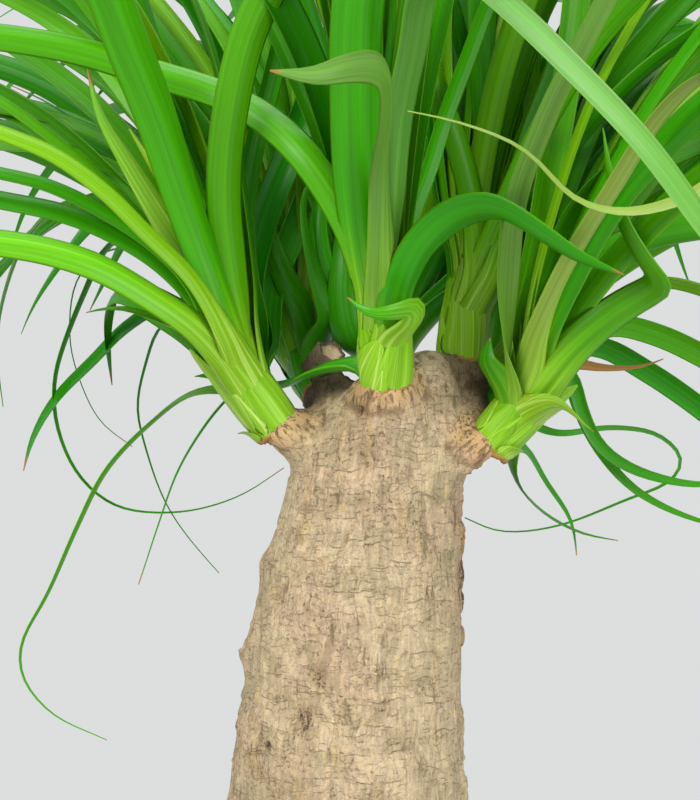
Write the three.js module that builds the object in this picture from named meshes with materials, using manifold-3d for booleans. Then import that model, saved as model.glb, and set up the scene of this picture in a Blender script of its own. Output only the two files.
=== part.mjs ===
// A potted ponytail palm: a plain tapered clay pot filled with soil, a trunk with a swollen
// foot that sits in the soil, and seven leafy shoots that grow out of the trunk's top.
// Millimetres, +Z up. The origin is the middle of the pot's underside, and +X is to the
// right when the plant is seen from its front, which faces -Y.

import * as THREE from 'three';
import { mergeVertices } from 'three/addons/utils/BufferGeometryUtils.js';
import Module from 'manifold-3d';

const wasm = await Module();
wasm.setup();
const { Manifold, Mesh: SolidMesh } = wasm;

// ---- Driving dimensions ----

const SEAT_GAP = 0.35; // clearance between pieces that touch
const POT_HEIGHT = 250;
const POT_RIM_RADIUS = 150;
const POT_FOOT_RADIUS = 112;
const POT_WALL = 9;
const POT_FLOOR = 14;
const POT_BAND = 36; // height of the thicker band under the rim
const POT_BAND_STEP = 5; // how far the band stands out from the wall
const POT_SIDES = 36;
const SOIL_LEVEL = 225;
const TRUNK_SIDES = 20;
const TRUNK_RING_PITCH = 32; // distance between the rings that are modelled
const RING_RELIEF = 0.8; // the leaf scars stand out and fall back by this much
const TRUNK_SHOULDER = 630; // above this height the trunk rounds off
const TRUNK_TOP = 652;

// Trunk outline from the foot up: height, how far the middle leans to the right, radius.
const TRUNK_OUTLINE = [
  [195, 0, 80], [215, 0, 100], [235, 0, 108], [262, 0, 106], [300, 1, 96], [350, 2, 77],
  [400, 3.5, 66], [445, 5.2, 59.5], [485, 7, 56.5], [520, 8.8, 54.2], [565, 13.8, 49.2],
  [595, 18.2, 44.8], [TRUNK_SHOULDER, 23.2, 41.2], [644, 25, 34], [TRUNK_TOP, 26, 18],
];
const FOOT_RING_TOP = 240; // below this height the foot stays round where the soil holds it

// Knobs on the bark where old shoots died off: height, bearing seen from above, size.
const BARK_KNOBS = [[565, 182, 7], [520, 176, 8], [492, 24, 7], [604, 262, 8], [548, 95, 8], [470, 300, 7]];

// The cut stub of a shoot that was taken off, between the left and the front shoots.
const CUT_STUB = { foot: [4, 2, 628], tip: [-7, 2, 665], footRadius: 12, tipRadius: 9 };
const COLLAR_SIDES = 10;
const KNOB_SIDES = 6;

// Shoots: where each one leaves its collar, the way it grows, the collar's length and radii.
// `spread` is for the leaves that follow the growth rule: how many, the compass range they
// fall in (0 = right, 90 = back, 180 = left, 270 = front), and the rise above level in degrees
// and the length, both from the oldest leaf to the youngest.
const SHOOTS = {
  left: {
    base: [-31, -14, 635], axis: [-0.58, -0.18, 0.79], collar: [46, 24, 16],
    spread: { count: 8, compass: [100, 235], rise: [52, 82], length: [520, 420] },
  },
  front: {
    base: [24, -38, 657], axis: [-0.05, -0.35, 0.93], collar: [42, 22, 15],
    spread: { count: 10, compass: [185, 355], rise: [76, 87], length: [600, 520] },
  },
  top: {
    base: [63, 8, 669], axis: [0.15, 0.05, 0.98], collar: [52, 22, 15],
    spread: { count: 14, compass: [-60, 170], rise: [58, 86], length: [560, 460] },
  },
  right: {
    base: [78, -15, 626], axis: [0.66, -0.15, 0.73], collar: [48, 24, 16],
    spread: { count: 10, compass: [-70, 80], rise: [52, 82], length: [540, 430] },
  },
  back_left: {
    base: [-8, 32, 652], axis: [-0.45, 0.55, 0.7], collar: [44, 21, 14],
    spread: { count: 26, compass: [60, 205], rise: [40, 84], length: [520, 400] },
  },
  back: {
    base: [28, 44, 655], axis: [0, 0.6, 0.8], collar: [44, 21, 14],
    spread: { count: 27, compass: [10, 170], rise: [38, 84], length: [520, 400] },
  },
  back_right: {
    base: [66, 36, 640], axis: [0.55, 0.5, 0.67], collar: [46, 22, 14],
    spread: { count: 26, compass: [-25, 115], rise: [42, 84], length: [520, 400] },
  },
};
const CORE_LENGTH = 38; // the solid middle of a shoot that its leaf bases wrap
const CORE_RADII = [13, 13.5];
const CORE_SIDES = 8;
const ROOT_OFFSET = 0.6; // share of the core's radius at which a leaf is rooted

// Blades: a strap with a keel underneath, narrow where it leaves the core.
const KEEL_DEPTH = [1.8, 1.2]; // at the root and at the tip
const TIP_WIDTH = 1.8;
const NECK_SHARE = 0.25; // width of the neck as a share of the full width
const NECK_ENDS = [0.06, 0.26]; // where along the leaf the neck begins to widen and is full
const TAPER_START = 0.3; // where along the leaf it begins to narrow
const TAPER_POWER = 1.6;

// Arching: a leaf turns towards the ground, more so towards its tip, and falls away from the
// middle of the plant.
const LEAF_STEP = 8; // length of one step along a leaf that arches by its own weight
const SAG = 0.0062; // turn towards the ground per millimetre at the tip of a level leaf
const ROOT_SAG = 0.35; // share of it at the root
const FALL_REACH = 0.45; // how far the pull leans outward from straight down
const FALL_SPREAD = 0.3; // how far it turns away from the middle of the plant
const PLANT_MIDDLE = [25, 0, 0];
const BACK_RISE = 16; // leaves that reach straight back rise this much more
const BACK_SHORTER = 0.14; // and are shorter by this share
const STEEPEST_RISE = 88;
const RULED_WIDTH = [12, 18];
const RULED_TWIST = 50; // range of the turn from root to tip, in degrees

// Sections and clearance.
const STATION_LENGTH = 120; // a blade gets a new section after this length
const STATION_TURN = 38; // or after turning by this many degrees
const FEWEST_SECTIONS = 5;
const CLEARANCE = 0.8; // blades of different shoots stay this far apart
const GOLDEN_TURN = 137.508;
const FIRST_SEED = 101;

// Ways to bend a leaf clear of the other shoots, tried in this order: a shift in depth for a
// placed leaf, and a swing and a lift in degrees for one that follows the growth rule.
const DEPTH_SHIFTS = [0, 7, -7, 14, -14, 21, -21, 30, -30, 40, -40];
const SWINGS = [
  [0, 0], [5, 0], [-5, 0], [0, -6], [10, -3], [-10, -3], [16, 0], [-16, 0], [22, -8], [-22, -8],
];

// Leaves that are placed one by one. Each row is the width, the turn of the blade about its
// own rib at its root and at its tip (0 faces the front, 90 stands edge on), its length along
// the rib, where 0 ends it at its last point, and the points that its rib passes through.
const PLACED_LEAVES = {
  left: [
        [22, 50, -25, 560, [[-49, -35, 679], [-64, -60, 725], [-78, -90, 772], [-90, -120, 808]]],
        [17, 10, -5, 600, [[-44, -30, 679], [-51, -40, 722], [-51, -50, 750], [-47, -60, 779], [-39, -70,
      808], [-27, -80, 834], [-18, -90, 854]]],
        [13, 50, 60, 430, [[-48, -10, 685], [-61, -5, 725], [-72, 0, 760], [-82, 0, 800], [-93, 0, 840]]],
        [10, 15, 15, 0, [[-48, -40, 679], [-62, -50, 704], [-78, -60, 727], [-96, -65, 755], [-110, -68,
      778], [-115, -70, 798]]],
        [9, 20, 20, 0, [[-46, -35, 679], [-59, -40, 707], [-72, -45, 733], [-83, -48, 750], [-98, -50,
      774]]],
        [14, 35, 35, 520, [[-50, -5, 677], [-70, 5, 714], [-93, 10, 755], [-119, 15, 788], [-144, 20,
      810], [-168, 20, 826]]],
        [9, 60, 60, 480, [[-50, 15, 675], [-68, 30, 727], [-97, 40, 780], [-121, 45, 805], [-147, 45,
      823]]],
        [6, 55, 55, 0, [[-54, 20, 676], [-76, 40, 733], [-103, 50, 768], [-125, 55, 783], [-152, 58, 802],
      [-174, 60, 812]]],
        [13, 55, 60, 450, [[-51, 10, 673], [-70, 20, 711], [-95, 25, 755], [-116, 28, 775], [-142, 30,
      786], [-173, 30, 793]]],
        [13, 62, 66, 460, [[-49, -50, 674], [-65, -65, 703], [-86, -75, 725], [-103, -80, 742], [-126,
      -85, 758], [-152, -90, 769]]],
        [14, 55, 58, 430, [[-52, 0, 670], [-74, 10, 711], [-105, 15, 754], [-125, 15, 764], [-150, 15,
      771], [-171, 15, 772]]],
        [12, 62, 62, 420, [[-51, -30, 669], [-70, -40, 705], [-88, -45, 723], [-112, -50, 738], [-136,
      -50, 749], [-159, -50, 755]]],
        [16, 48, 52, 450, [[-50, -25, 667], [-63, -35, 693], [-84, -40, 715], [-108, -42, 729], [-132,
      -42, 738], [-161, -40, 745]]],
        [16, 55, 58, 430, [[-48, -40, 662], [-64, -60, 680], [-86, -75, 696], [-107, -85, 708], [-130,
      -90, 715], [-151, -95, 718]]],
        [15, 30, 20, 0, [[-44, -25, 657], [-64, -25, 677], [-87, -15, 689], [-104, 0, 697], [-116, 22,
      695], [-120, 42, 679], [-118, 52, 653]]],
        [12, 58, 60, 0, [[-47, -20, 652], [-66, -30, 672], [-90, -35, 685], [-106, -38, 689], [-120, -38,
      687]]],
        [12, 30, 40, 0, [[-48, 5, 651], [-59, 12, 657], [-72, 18, 657]]],
        [8, 40, 60, 0, [[-52, 20, 649], [-75, 30, 647], [-96, 35, 632], [-118, 38, 609], [-133, 40, 580],
      [-149, 40, 546], [-163, 40, 518], [-162, 38, 500], [-148, 35, 482], [-119, 30, 470]]],
        [7, 50, 50, 0, [[-57, 30, 671], [-76, 40, 687], [-91, 45, 684], [-100, 48, 663], [-104, 50, 642],
      [-100, 50, 621], [-89, 50, 590], [-61, 48, 554]]],
        [5, 50, 50, 0, [[-47, 35, 653], [-56, 38, 646], [-68, 40, 632], [-82, 42, 609], [-92, 44, 582],
      [-104, 45, 549]]],
        [9, 45, 45, 0, [[-60, 25, 676], [-86, 35, 692], [-108, 40, 681], [-125, 45, 665], [-145, 45, 645],
      [-157, 45, 624], [-163, 45, 607]]],
        [9, 45, 60, 0, [[-62, 15, 696], [-91, 30, 727], [-115, 40, 726], [-130, 45, 702], [-141, 48, 676],
      [-147, 50, 653], [-146, 50, 629], [-136, 50, 607], [-114, 50, 590], [-82, 50, 586], [-53, 50, 594],
      [-27, 50, 609]]],
        [5, 50, 50, 0, [[-63, 30, 691], [-93, 50, 721], [-123, 60, 724], [-139, 65, 709], [-142, 65, 677],
      [-134, 65, 650], [-125, 65, 633], [-109, 65, 620]]],
        [10, 40, 45, 400, [[-56, 10, 680], [-80, 25, 714], [-107, 35, 746], [-128, 40, 749], [-147, 45,
      736], [-171, 45, 717]]],
        [8, 50, 50, 0, [[-58, 20, 681], [-97, 40, 733], [-140, 50, 747], [-164, 55, 729], [-175, 55, 698],
      [-178, 55, 666], [-176, 55, 642]]],
        [15, 25, 25, 520, [[-37, 10, 670], [-44, 15, 701], [-38, 20, 734], [-25, 25, 768], [-14, 30,
      800]]],
        [14, 25, 25, 500, [[-34, 20, 670], [-33, 30, 702], [-23, 40, 728], [-13, 50, 755], [-6, 55,
      787]]],
        [12, 50, 50, 480, [[-39, 0, 675], [-46, 5, 710], [-47, 10, 746], [-42, 10, 776], [-34, 12, 807]]],
  ],
  front: [
        [16, 15, 20, 600, [[17, -60, 692], [6, -75, 728], [-14, -80, 760], [-35, -75, 781], [-58, -65,
      794], [-82, -60, 802], [-110, -60, 809], [-157, -65, 816]]],
        [24, 10, 0, 560, [[19, -62, 692], [14, -75, 724], [11, -90, 759], [11, -110, 796], [13, -130,
      828]]],
        [12, 35, 35, 500, [[23, -55, 692], [20, -60, 730], [20, -60, 767], [21, -60, 805], [22, -60,
      842]]],
        [9, 20, 20, 450, [[26, -48, 697], [24, -45, 740], [23, -45, 779], [26, -45, 807], [31, -45,
      841]]],
        [10, 25, 25, 500, [[27, -45, 698], [26, -40, 741], [29, -38, 780], [36, -38, 813], [43, -38,
      842]]],
        [14, 20, 0, 680, [[28, -52, 697], [28, -65, 738], [33, -85, 773], [40, -120, 799], [44, -170,
      817], [55, -230, 809], [71, -290, 779], [87, -330, 752], [102, -355, 726], [117, -370, 701]]],
        [10, 45, 45, 430, [[30, -35, 698], [35, -30, 732], [44, -25, 757], [53, -22, 787], [66, -20,
      821]]],
        [15, 35, 15, 0, [[31, -62, 691], [40, -75, 713], [55, -85, 727], [71, -95, 730], [90, -105, 719],
      [109, -110, 707], [129, -112, 700]]],
        [12, 10, 20, 0, [[35, -66, 673], [38, -74, 686], [28, -86, 685], [16, -88, 684], [6, -82, 692]]],
        [12, 30, 10, 0, [[23, -70, 701], [23, -100, 744], [25, -150, 768], [21, -190, 779], [7, -215,
      776], [-8, -225, 771], [-25, -230, 772]]],
        [10, 45, 45, 0, [[14, -46, 663], [5, -42, 660], [-10, -28, 657], [-25, -5, 654], [-38, 15, 655]]],
  ],
  top: [
        [15, 15, 15, 560, [[71, 0, 695], [78, -5, 735], [77, -8, 774], [75, -10, 813], [74, -12, 852]]],
        [14, 10, 10, 560, [[74, 5, 695], [85, 5, 735], [88, 5, 776], [88, 5, 816], [89, 5, 856]]],
        [13, 20, 20, 540, [[76, 12, 696], [93, 15, 736], [100, 18, 777], [101, 20, 818], [104, 22, 860]]],
        [12, 10, 10, 500, [[72, -5, 700], [69, -12, 734], [61, -15, 768], [49, -18, 800], [39, -20,
      831]]],
        [10, 30, 30, 460, [[66, 10, 696], [60, 15, 721], [53, 18, 752], [49, 20, 788], [47, 20, 829]]],
        [12, 20, 20, 520, [[76, -8, 695], [86, -15, 729], [95, -20, 768], [109, -25, 806], [123, -30,
      844]]],
        [9, 20, 20, 480, [[69, 0, 695], [72, 0, 735], [74, 0, 770], [82, 0, 815]]],
        [10, 25, 25, 500, [[71, 20, 701], [76, 25, 748], [72, 28, 794], [63, 30, 830], [53, 30, 866]]],
  ],
  right: [
        [19, 10, 10, 0, [[94, -35, 645], [112, -50, 668], [130, -58, 686], [147, -62, 698], [153, -70,
      701], [145, -78, 714], [134, -84, 732], [126, -86, 752], [122, -84, 770]]],
        [16, 15, 20, 520, [[92, -30, 660], [108, -38, 693], [127, -42, 711], [150, -45, 722], [178, -50,
      727]]],
        [17, 15, 20, 560, [[89, -25, 664], [102, -30, 703], [118, -32, 737], [143, -32, 759], [177, -30,
      774]]],
        [14, 50, 50, 450, [[95, -20, 650], [117, -25, 682], [138, -28, 699], [160, -30, 705], [186, -32,
      698]]],
        [13, 40, 40, 430, [[97, 0, 648], [118, 5, 673], [138, 8, 684], [164, 10, 679], [194, 12, 664]]],
        [12, 40, 40, 430, [[98, 20, 648], [115, 30, 671], [136, 35, 674], [163, 38, 660], [199, 40,
      634]]],
        [8, 40, 60, 0, [[95, 10, 646], [114, 16, 664], [134, 20, 662], [155, 22, 662], [167, 22, 666]]],
        [8, 45, 45, 0, [[97, 30, 645], [112, 40, 663], [122, 44, 658], [128, 45, 640], [138, 45, 621],
      [159, 45, 607], [192, 45, 600], [221, 45, 608]]],
        [7, 45, 45, 0, [[95, 40, 648], [109, 50, 669], [121, 55, 661], [127, 55, 642], [138, 55, 619],
      [157, 55, 598], [192, 55, 581], [218, 55, 576]]],
        [13, 30, 30, 0, [[91, -35, 633], [105, -48, 643], [118, -55, 633], [122, -56, 630]]],
        [6, 50, 50, 0, [[97, 55, 634], [120, 80, 626], [166, 95, 629], [189, 98, 612], [166, 98, 593],
      [122, 98, 576], [89, 98, 573], [70, 98, 580]]],
        [5, 50, 50, 0, [[86, 20, 622], [98, 35, 619], [108, 40, 603], [122, 42, 582], [125, 42, 564]]],
        [5, 50, 50, 0, [[88, 25, 618], [92, 34, 604], [105, 36, 588], [126, 38, 576], [146, 39, 572]]],
        [15, 15, 15, 540, [[85, -20, 670], [95, -25, 713], [103, -28, 757], [109, -30, 795], [114, -32,
      834]]],
        [13, 20, 20, 540, [[88, -12, 670], [101, -10, 714], [114, -10, 754], [131, -10, 794], [156, -10,
      828]]],
        [12, 30, 10, 560, [[81, -50, 669], [80, -80, 709], [81, -110, 738], [90, -150, 768], [99, -180,
      788], [111, -200, 813]]],
        [11, 40, 30, 0, [[96, -60, 678], [121, -120, 733], [146, -180, 772], [157, -230, 768], [153, -260,
      741], [133, -280, 720], [106, -290, 711], [85, -295, 716], [67, -298, 733], [46, -300, 741], [28,
      -300, 745]]],
        [9, 20, 20, 420, [[90, -20, 660], [104, -20, 694], [114, -22, 713], [124, -25, 730]]],
  ],
  back_left: [
        [11, 30, 30, 420, [[-5, 25, 671], [-15, 20, 691], [-25, 18, 705], [-35, 18, 726]]],
        [12, 20, 30, 0, [[1, 18, 681], [-7, 10, 703], [-14, 5, 728], [-15, 10, 749], [-3, 20, 767]]],
        [13, 20, 20, 460, [[8, 30, 686], [1, 30, 717], [-7, 35, 743], [-19, 40, 775]]],
  ],
};

// ---- Small helpers ----

const UP = new THREE.Vector3(0, 0, 1);
const BACKWARD = new THREE.Vector3(0, 1, 0);
const FULL_TURN = 360;
const WELD = 1e-4; // corners closer than this are one corner
const radians = THREE.MathUtils.degToRad;
const mix = THREE.MathUtils.lerp;
const { clamp } = THREE.MathUtils;
const vector = (values) => new THREE.Vector3(...values);

/** A repeatable stream of numbers from 0 to 1. */
function seededNumbers(seed) {
  let state = seed >>> 0;
  return () => {
    state = (Math.imul(state, 1664525) + 1013904223) >>> 0;
    return state / 4294967296;
  };
}

/** A closed solid from a list of points and a list of triangles. */
function solidFrom(points, triangles) {
  return new Manifold(new SolidMesh({
    numProp: 3,
    vertProperties: Float32Array.from(points.flatMap((point) => [point.x, point.y, point.z])),
    triVerts: Uint32Array.from(triangles.flat()),
  }));
}

/** A closed solid from a closed three.js geometry. */
function solidFromGeometry(geometry) {
  const bare = geometry.clone();
  bare.deleteAttribute('normal');
  bare.deleteAttribute('uv');
  const merged = mergeVertices(bare, WELD);
  const { array } = merged.getAttribute('position');
  const corners = merged.index.array;
  const triangles = [];
  for (let i = 0; i < corners.length; i += 3) {
    const [a, b, c] = [corners[i], corners[i + 1], corners[i + 2]];
    if (a !== b && b !== c && c !== a) triangles.push(a, b, c);
  }
  return new Manifold(new SolidMesh({
    numProp: 3,
    vertProperties: Float32Array.from(array),
    triVerts: Uint32Array.from(triangles),
  }));
}

/** Joins solids into one body and keeps only its outer skin. */
function fuse(solids) {
  const bodies = Manifold.union(solids).decompose();
  return bodies.reduce((largest, body) => (body.volume() > largest.volume() ? body : largest));
}

/** A named mesh for a finished solid. */
function meshFrom(name, solid, material) {
  const { numProp, vertProperties, triVerts } = solid.getMesh();
  const positions = [];
  for (let i = 0; i < vertProperties.length; i += numProp) {
    positions.push(vertProperties[i], vertProperties[i + 1], vertProperties[i + 2]);
  }
  const geometry = new THREE.BufferGeometry();
  geometry.setAttribute('position', new THREE.Float32BufferAttribute(positions, 3));
  geometry.setIndex([...triVerts]);
  geometry.computeVertexNormals();
  const mesh = new THREE.Mesh(geometry, material);
  mesh.name = name;
  return mesh;
}

/** A solid of revolution about +Z from [radius, height] pairs that start and end on the axis. */
function turned(outline, sides) {
  const points = outline.map(([radius, height]) => new THREE.Vector2(radius, height));
  const geometry = new THREE.LatheGeometry(points, sides);
  geometry.rotateX(Math.PI / 2);
  return solidFromGeometry(geometry);
}

/** A round bar that tapers from one point to another. */
function taperedBar(foot, tip, footRadius, tipRadius, sides) {
  const length = foot.distanceTo(tip);
  const geometry = new THREE.CylinderGeometry(tipRadius, footRadius, length, sides);
  geometry.translate(0, length / 2, 0);
  const along = tip.clone().sub(foot).normalize();
  geometry.applyQuaternion(new THREE.Quaternion().setFromUnitVectors(new THREE.Vector3(0, 1, 0), along));
  geometry.translate(...foot);
  return solidFromGeometry(geometry);
}

// ---- Pot and soil ----

/** Inside radius of the pot at a height. */
function potBore(height) {
  const outside = mix(POT_FOOT_RADIUS, POT_RIM_RADIUS - POT_BAND_STEP, height / POT_HEIGHT);
  return outside - POT_WALL;
}

function makePot() {
  const bandFoot = POT_HEIGHT - POT_BAND;
  const underBand = mix(POT_FOOT_RADIUS, POT_RIM_RADIUS - POT_BAND_STEP, bandFoot / POT_HEIGHT);
  const lip = 3; // the rim and the foot are rounded off by this much
  return turned([
    [0, 0],
    [POT_FOOT_RADIUS - lip, 0],
    [POT_FOOT_RADIUS, lip],
    [underBand, bandFoot - lip],
    [POT_RIM_RADIUS - lip, bandFoot],
    [POT_RIM_RADIUS, POT_HEIGHT - lip],
    [POT_RIM_RADIUS - lip, POT_HEIGHT],
    [potBore(POT_HEIGHT) + lip, POT_HEIGHT],
    [potBore(POT_HEIGHT - lip), POT_HEIGHT - lip],
    [potBore(POT_FLOOR), POT_FLOOR],
    [0, POT_FLOOR],
  ], POT_SIDES);
}

/** The soil fills the pot and has a blind hole for the part of the foot that is buried. */
function makeSoil() {
  const bottom = POT_FLOOR + SEAT_GAP;
  const mound = 6; // the soil rises a little towards the trunk
  const body = turned([
    [0, bottom],
    [potBore(bottom) - SEAT_GAP, bottom],
    [potBore(SOIL_LEVEL - mound) - SEAT_GAP, SOIL_LEVEL - mound],
    [TRUNK_OUTLINE[2][2] + mound, SOIL_LEVEL],
    [0, SOIL_LEVEL],
  ], POT_SIDES);
  const buried = TRUNK_OUTLINE.filter(([height]) => height < FOOT_RING_TOP);
  const hole = buried.map(([height, , radius]) => [radius + SEAT_GAP, height]);
  hole[0][1] -= SEAT_GAP;
  const cutter = turned([[0, hole[0][1]], ...hole, [0, hole.at(-1)[1]]], TRUNK_SIDES);
  return body.subtract(cutter);
}

// ---- Trunk ----

/** A column of the trunk's outline at a height, on a smooth curve through its rows. */
function outlineAt(height, column) {
  const last = TRUNK_OUTLINE.length - 1;
  const above = TRUNK_OUTLINE.findIndex(([rowHeight]) => rowHeight > height);
  const row = above === -1 ? last : Math.max(1, above);
  const [before, low, high, after] = [-2, -1, 0, 1]
    .map((step) => TRUNK_OUTLINE[clamp(row + step, 0, last)]);
  const slope = (from, to) => (to[column] - from[column]) / (to[0] - from[0]);
  const gap = high[0] - low[0];
  const share = (height - low[0]) / gap;
  const [square, cube] = [share ** 2, share ** 3];
  return (2 * cube - 3 * square + 1) * low[column] + (3 * square - 2 * cube) * high[column]
    + gap * ((cube - 2 * square + share) * slope(before, high) + (cube - square) * slope(low, after));
}

/** Middle and radius of the trunk at a height. */
function trunkAt(height) {
  return { lean: outlineAt(height, 1), radius: outlineAt(height, 2) };
}

/** Heights of the rings that shape the trunk. */
function trunkHeights() {
  const heights = TRUNK_OUTLINE.map(([height]) => height).filter((height) => height < FOOT_RING_TOP);
  const count = Math.round((TRUNK_SHOULDER - FOOT_RING_TOP) / TRUNK_RING_PITCH);
  for (let i = 1; i <= count; i += 1) heights.push(mix(FOOT_RING_TOP, TRUNK_SHOULDER, i / count));
  return [...heights, TRUNK_OUTLINE.at(-2)[0], TRUNK_TOP];
}

function makeTrunkStem() {
  const points = [];
  const heights = trunkHeights();
  heights.forEach((height, ring) => {
    const { lean, radius } = trunkAt(height);
    const relief = height > FOOT_RING_TOP && height < TRUNK_TOP ? RING_RELIEF * (ring % 2 ? 1 : -1) : 0;
    for (let side = 0; side < TRUNK_SIDES; side += 1) {
      const bearing = (side / TRUNK_SIDES) * 2 * Math.PI;
      const reach = radius + relief;
      points.push(new THREE.Vector3(lean + reach * Math.sin(bearing), reach * Math.cos(bearing), height));
    }
  });
  const bottom = points.push(new THREE.Vector3(0, 0, heights[0])) - 1;
  const top = points.push(new THREE.Vector3(trunkAt(TRUNK_TOP).lean, 0, TRUNK_TOP)) - 1;
  const triangles = [];
  for (let side = 0; side < TRUNK_SIDES; side += 1) {
    const next = (side + 1) % TRUNK_SIDES;
    triangles.push([bottom, side, next]);
    for (let ring = 0; ring + 1 < heights.length; ring += 1) {
      const [low, high] = [ring * TRUNK_SIDES, (ring + 1) * TRUNK_SIDES];
      triangles.push([low + side, high + side, high + next], [low + side, high + next, low + next]);
    }
    const crown = (heights.length - 1) * TRUNK_SIDES;
    triangles.push([top, crown + next, crown + side]);
  }
  return solidFrom(points, triangles);
}

/** A knob on the bark: a low stump that stands out of the trunk by a third of its size. */
function makeKnob([height, compass, size]) {
  const { lean, radius } = trunkAt(height);
  const out = new THREE.Vector3(Math.cos(radians(compass)), Math.sin(radians(compass)), 0);
  const skin = new THREE.Vector3(lean, 0, height).addScaledVector(out, radius);
  const foot = skin.clone().addScaledVector(out, -size);
  const tip = skin.clone().addScaledVector(out, size / 3);
  return taperedBar(foot, tip, size * 1.3, size * 0.6, KNOB_SIDES);
}

function makeTrunk() {
  const collars = Object.values(SHOOTS).map(({ base, axis, collar: [length, footRadius, endRadius] }) => {
    const end = vector(base);
    const foot = end.clone().addScaledVector(vector(axis).normalize(), -length);
    return taperedBar(foot, end, footRadius, endRadius, COLLAR_SIDES);
  });
  const { foot, tip, footRadius, tipRadius } = CUT_STUB;
  const stub = taperedBar(vector(foot), vector(tip), footRadius, tipRadius, COLLAR_SIDES);
  return fuse([makeTrunkStem(), ...collars, stub, ...BARK_KNOBS.map(makeKnob)]);
}

// ---- Leaves ----

/** Length of a chain of points. */
function chainLength(points) {
  let length = 0;
  for (let i = 1; i < points.length; i += 1) length += points[i].distanceTo(points[i - 1]);
  return length;
}

/** Lets a leaf go on from its last point, arching down under its weight, to a given length. */
function arch(points, length, sag) {
  const heading = points.at(-1).clone().sub(points.at(-2)).normalize();
  const fall = points.at(-1).clone().sub(vector(PLANT_MIDDLE)).setZ(0).normalize();
  const level = heading.clone().setZ(0).addScaledVector(fall, FALL_SPREAD).normalize();
  const pull = level.multiplyScalar(FALL_REACH).sub(UP);
  let travelled = chainLength(points);
  while (travelled < length) {
    const strength = sag * mix(ROOT_SAG, 1, travelled / length);
    heading.addScaledVector(pull, strength * LEAF_STEP).normalize();
    points.push(points.at(-1).clone().addScaledVector(heading, LEAF_STEP));
    travelled += LEAF_STEP;
  }
  return points;
}

/** Where on the core a leaf starts: higher if it leaves upright, and on the side it leaves to. */
function leafRoot(shoot, heading) {
  const lean = heading.angleTo(shoot.axis) / (Math.PI / 2);
  const share = clamp(0.85 - 0.65 * lean, 0.2, 0.8);
  const outward = heading.clone().addScaledVector(shoot.axis, -heading.dot(shoot.axis)).normalize();
  return shoot.base.clone().addScaledVector(shoot.axis, CORE_LENGTH * share)
    .addScaledVector(outward, ROOT_OFFSET * mix(CORE_RADII[0], CORE_RADII[1], share));
}

/** The rib of a placed leaf, its depth moved by `shift` away from its root. */
function placedRib(shoot, row, shift) {
  const [, , , length, via] = row;
  const points = via.map((values, i) => {
    const point = vector(values);
    point.y += shift * Math.min(1, (i + 1) / 2);
    return point;
  });
  const root = leafRoot(shoot, points[0].clone().sub(shoot.base));
  const curve = new THREE.CatmullRomCurve3([root, ...points], false, 'centripetal');
  const rib = curve.getPoints(points.length * 10);
  return length ? arch(rib, length, SAG) : rib;
}

/** The rib of a leaf that follows the growth rule. */
function ruledRib(shoot, growth, swing, lift) {
  const compass = radians(growth.compass + swing);
  const rise = radians(Math.min(STEEPEST_RISE, growth.rise + lift));
  const level = new THREE.Vector3(Math.cos(compass), Math.sin(compass), 0);
  const heading = level.multiplyScalar(Math.cos(rise)).addScaledVector(UP, Math.sin(rise));
  const root = leafRoot(shoot, heading);
  const rib = [root, root.clone().addScaledVector(heading, LEAF_STEP)];
  return arch(rib, growth.length, growth.sag);
}

/** Distance along a rib, and a measure that grows with both its length and its bends. */
function measureRib(rib) {
  const travelled = [0];
  const measure = [0];
  for (let i = 1; i < rib.length; i += 1) {
    const step = rib[i].clone().sub(rib[i - 1]);
    const before = i > 1 ? rib[i - 1].clone().sub(rib[i - 2]) : step;
    const bend = THREE.MathUtils.radToDeg(step.angleTo(before));
    travelled.push(travelled[i - 1] + step.length());
    measure.push(measure[i - 1] + step.length() / STATION_LENGTH + bend / STATION_TURN);
  }
  return { travelled, measure };
}

/** Cuts a rib into the sections of a blade, closer together where it bends. */
function bladeSections(rib, firstSide) {
  const { travelled, measure } = measureRib(rib);
  const last = rib.length - 1;
  const count = Math.max(FEWEST_SECTIONS, Math.round(measure[last]));
  const sections = [];
  let side = firstSide;
  for (let section = 0; section <= count; section += 1) {
    const target = (measure[last] * section) / count;
    const found = measure.findIndex((value) => value >= target);
    const i = found === -1 ? last : Math.max(1, found);
    const share = (target - measure[i - 1]) / (measure[i] - measure[i - 1]);
    const tangent = rib[Math.min(i + 1, last)].clone().sub(rib[Math.max(i - 2, 0)]).normalize();
    side = side.clone().addScaledVector(tangent, -side.dot(tangent)).normalize();
    sections.push({
      point: rib[i - 1].clone().lerp(rib[i], share),
      along: mix(travelled[i - 1], travelled[i], share) / travelled[last],
      tangent,
      side,
    });
  }
  return sections;
}

/** Half width of a blade at a share of its length: narrow neck, long taper to a fine tip. */
function halfWidth(width, along) {
  const [neckStart, neckEnd] = NECK_ENDS;
  const neck = mix(NECK_SHARE, 1, clamp((along - neckStart) / (neckEnd - neckStart), 0, 1));
  const taper = 1 - clamp((along - TAPER_START) / (1 - TAPER_START), 0, 1) ** TAPER_POWER;
  return Math.max(TIP_WIDTH, width * neck * taper) / 2;
}

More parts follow.
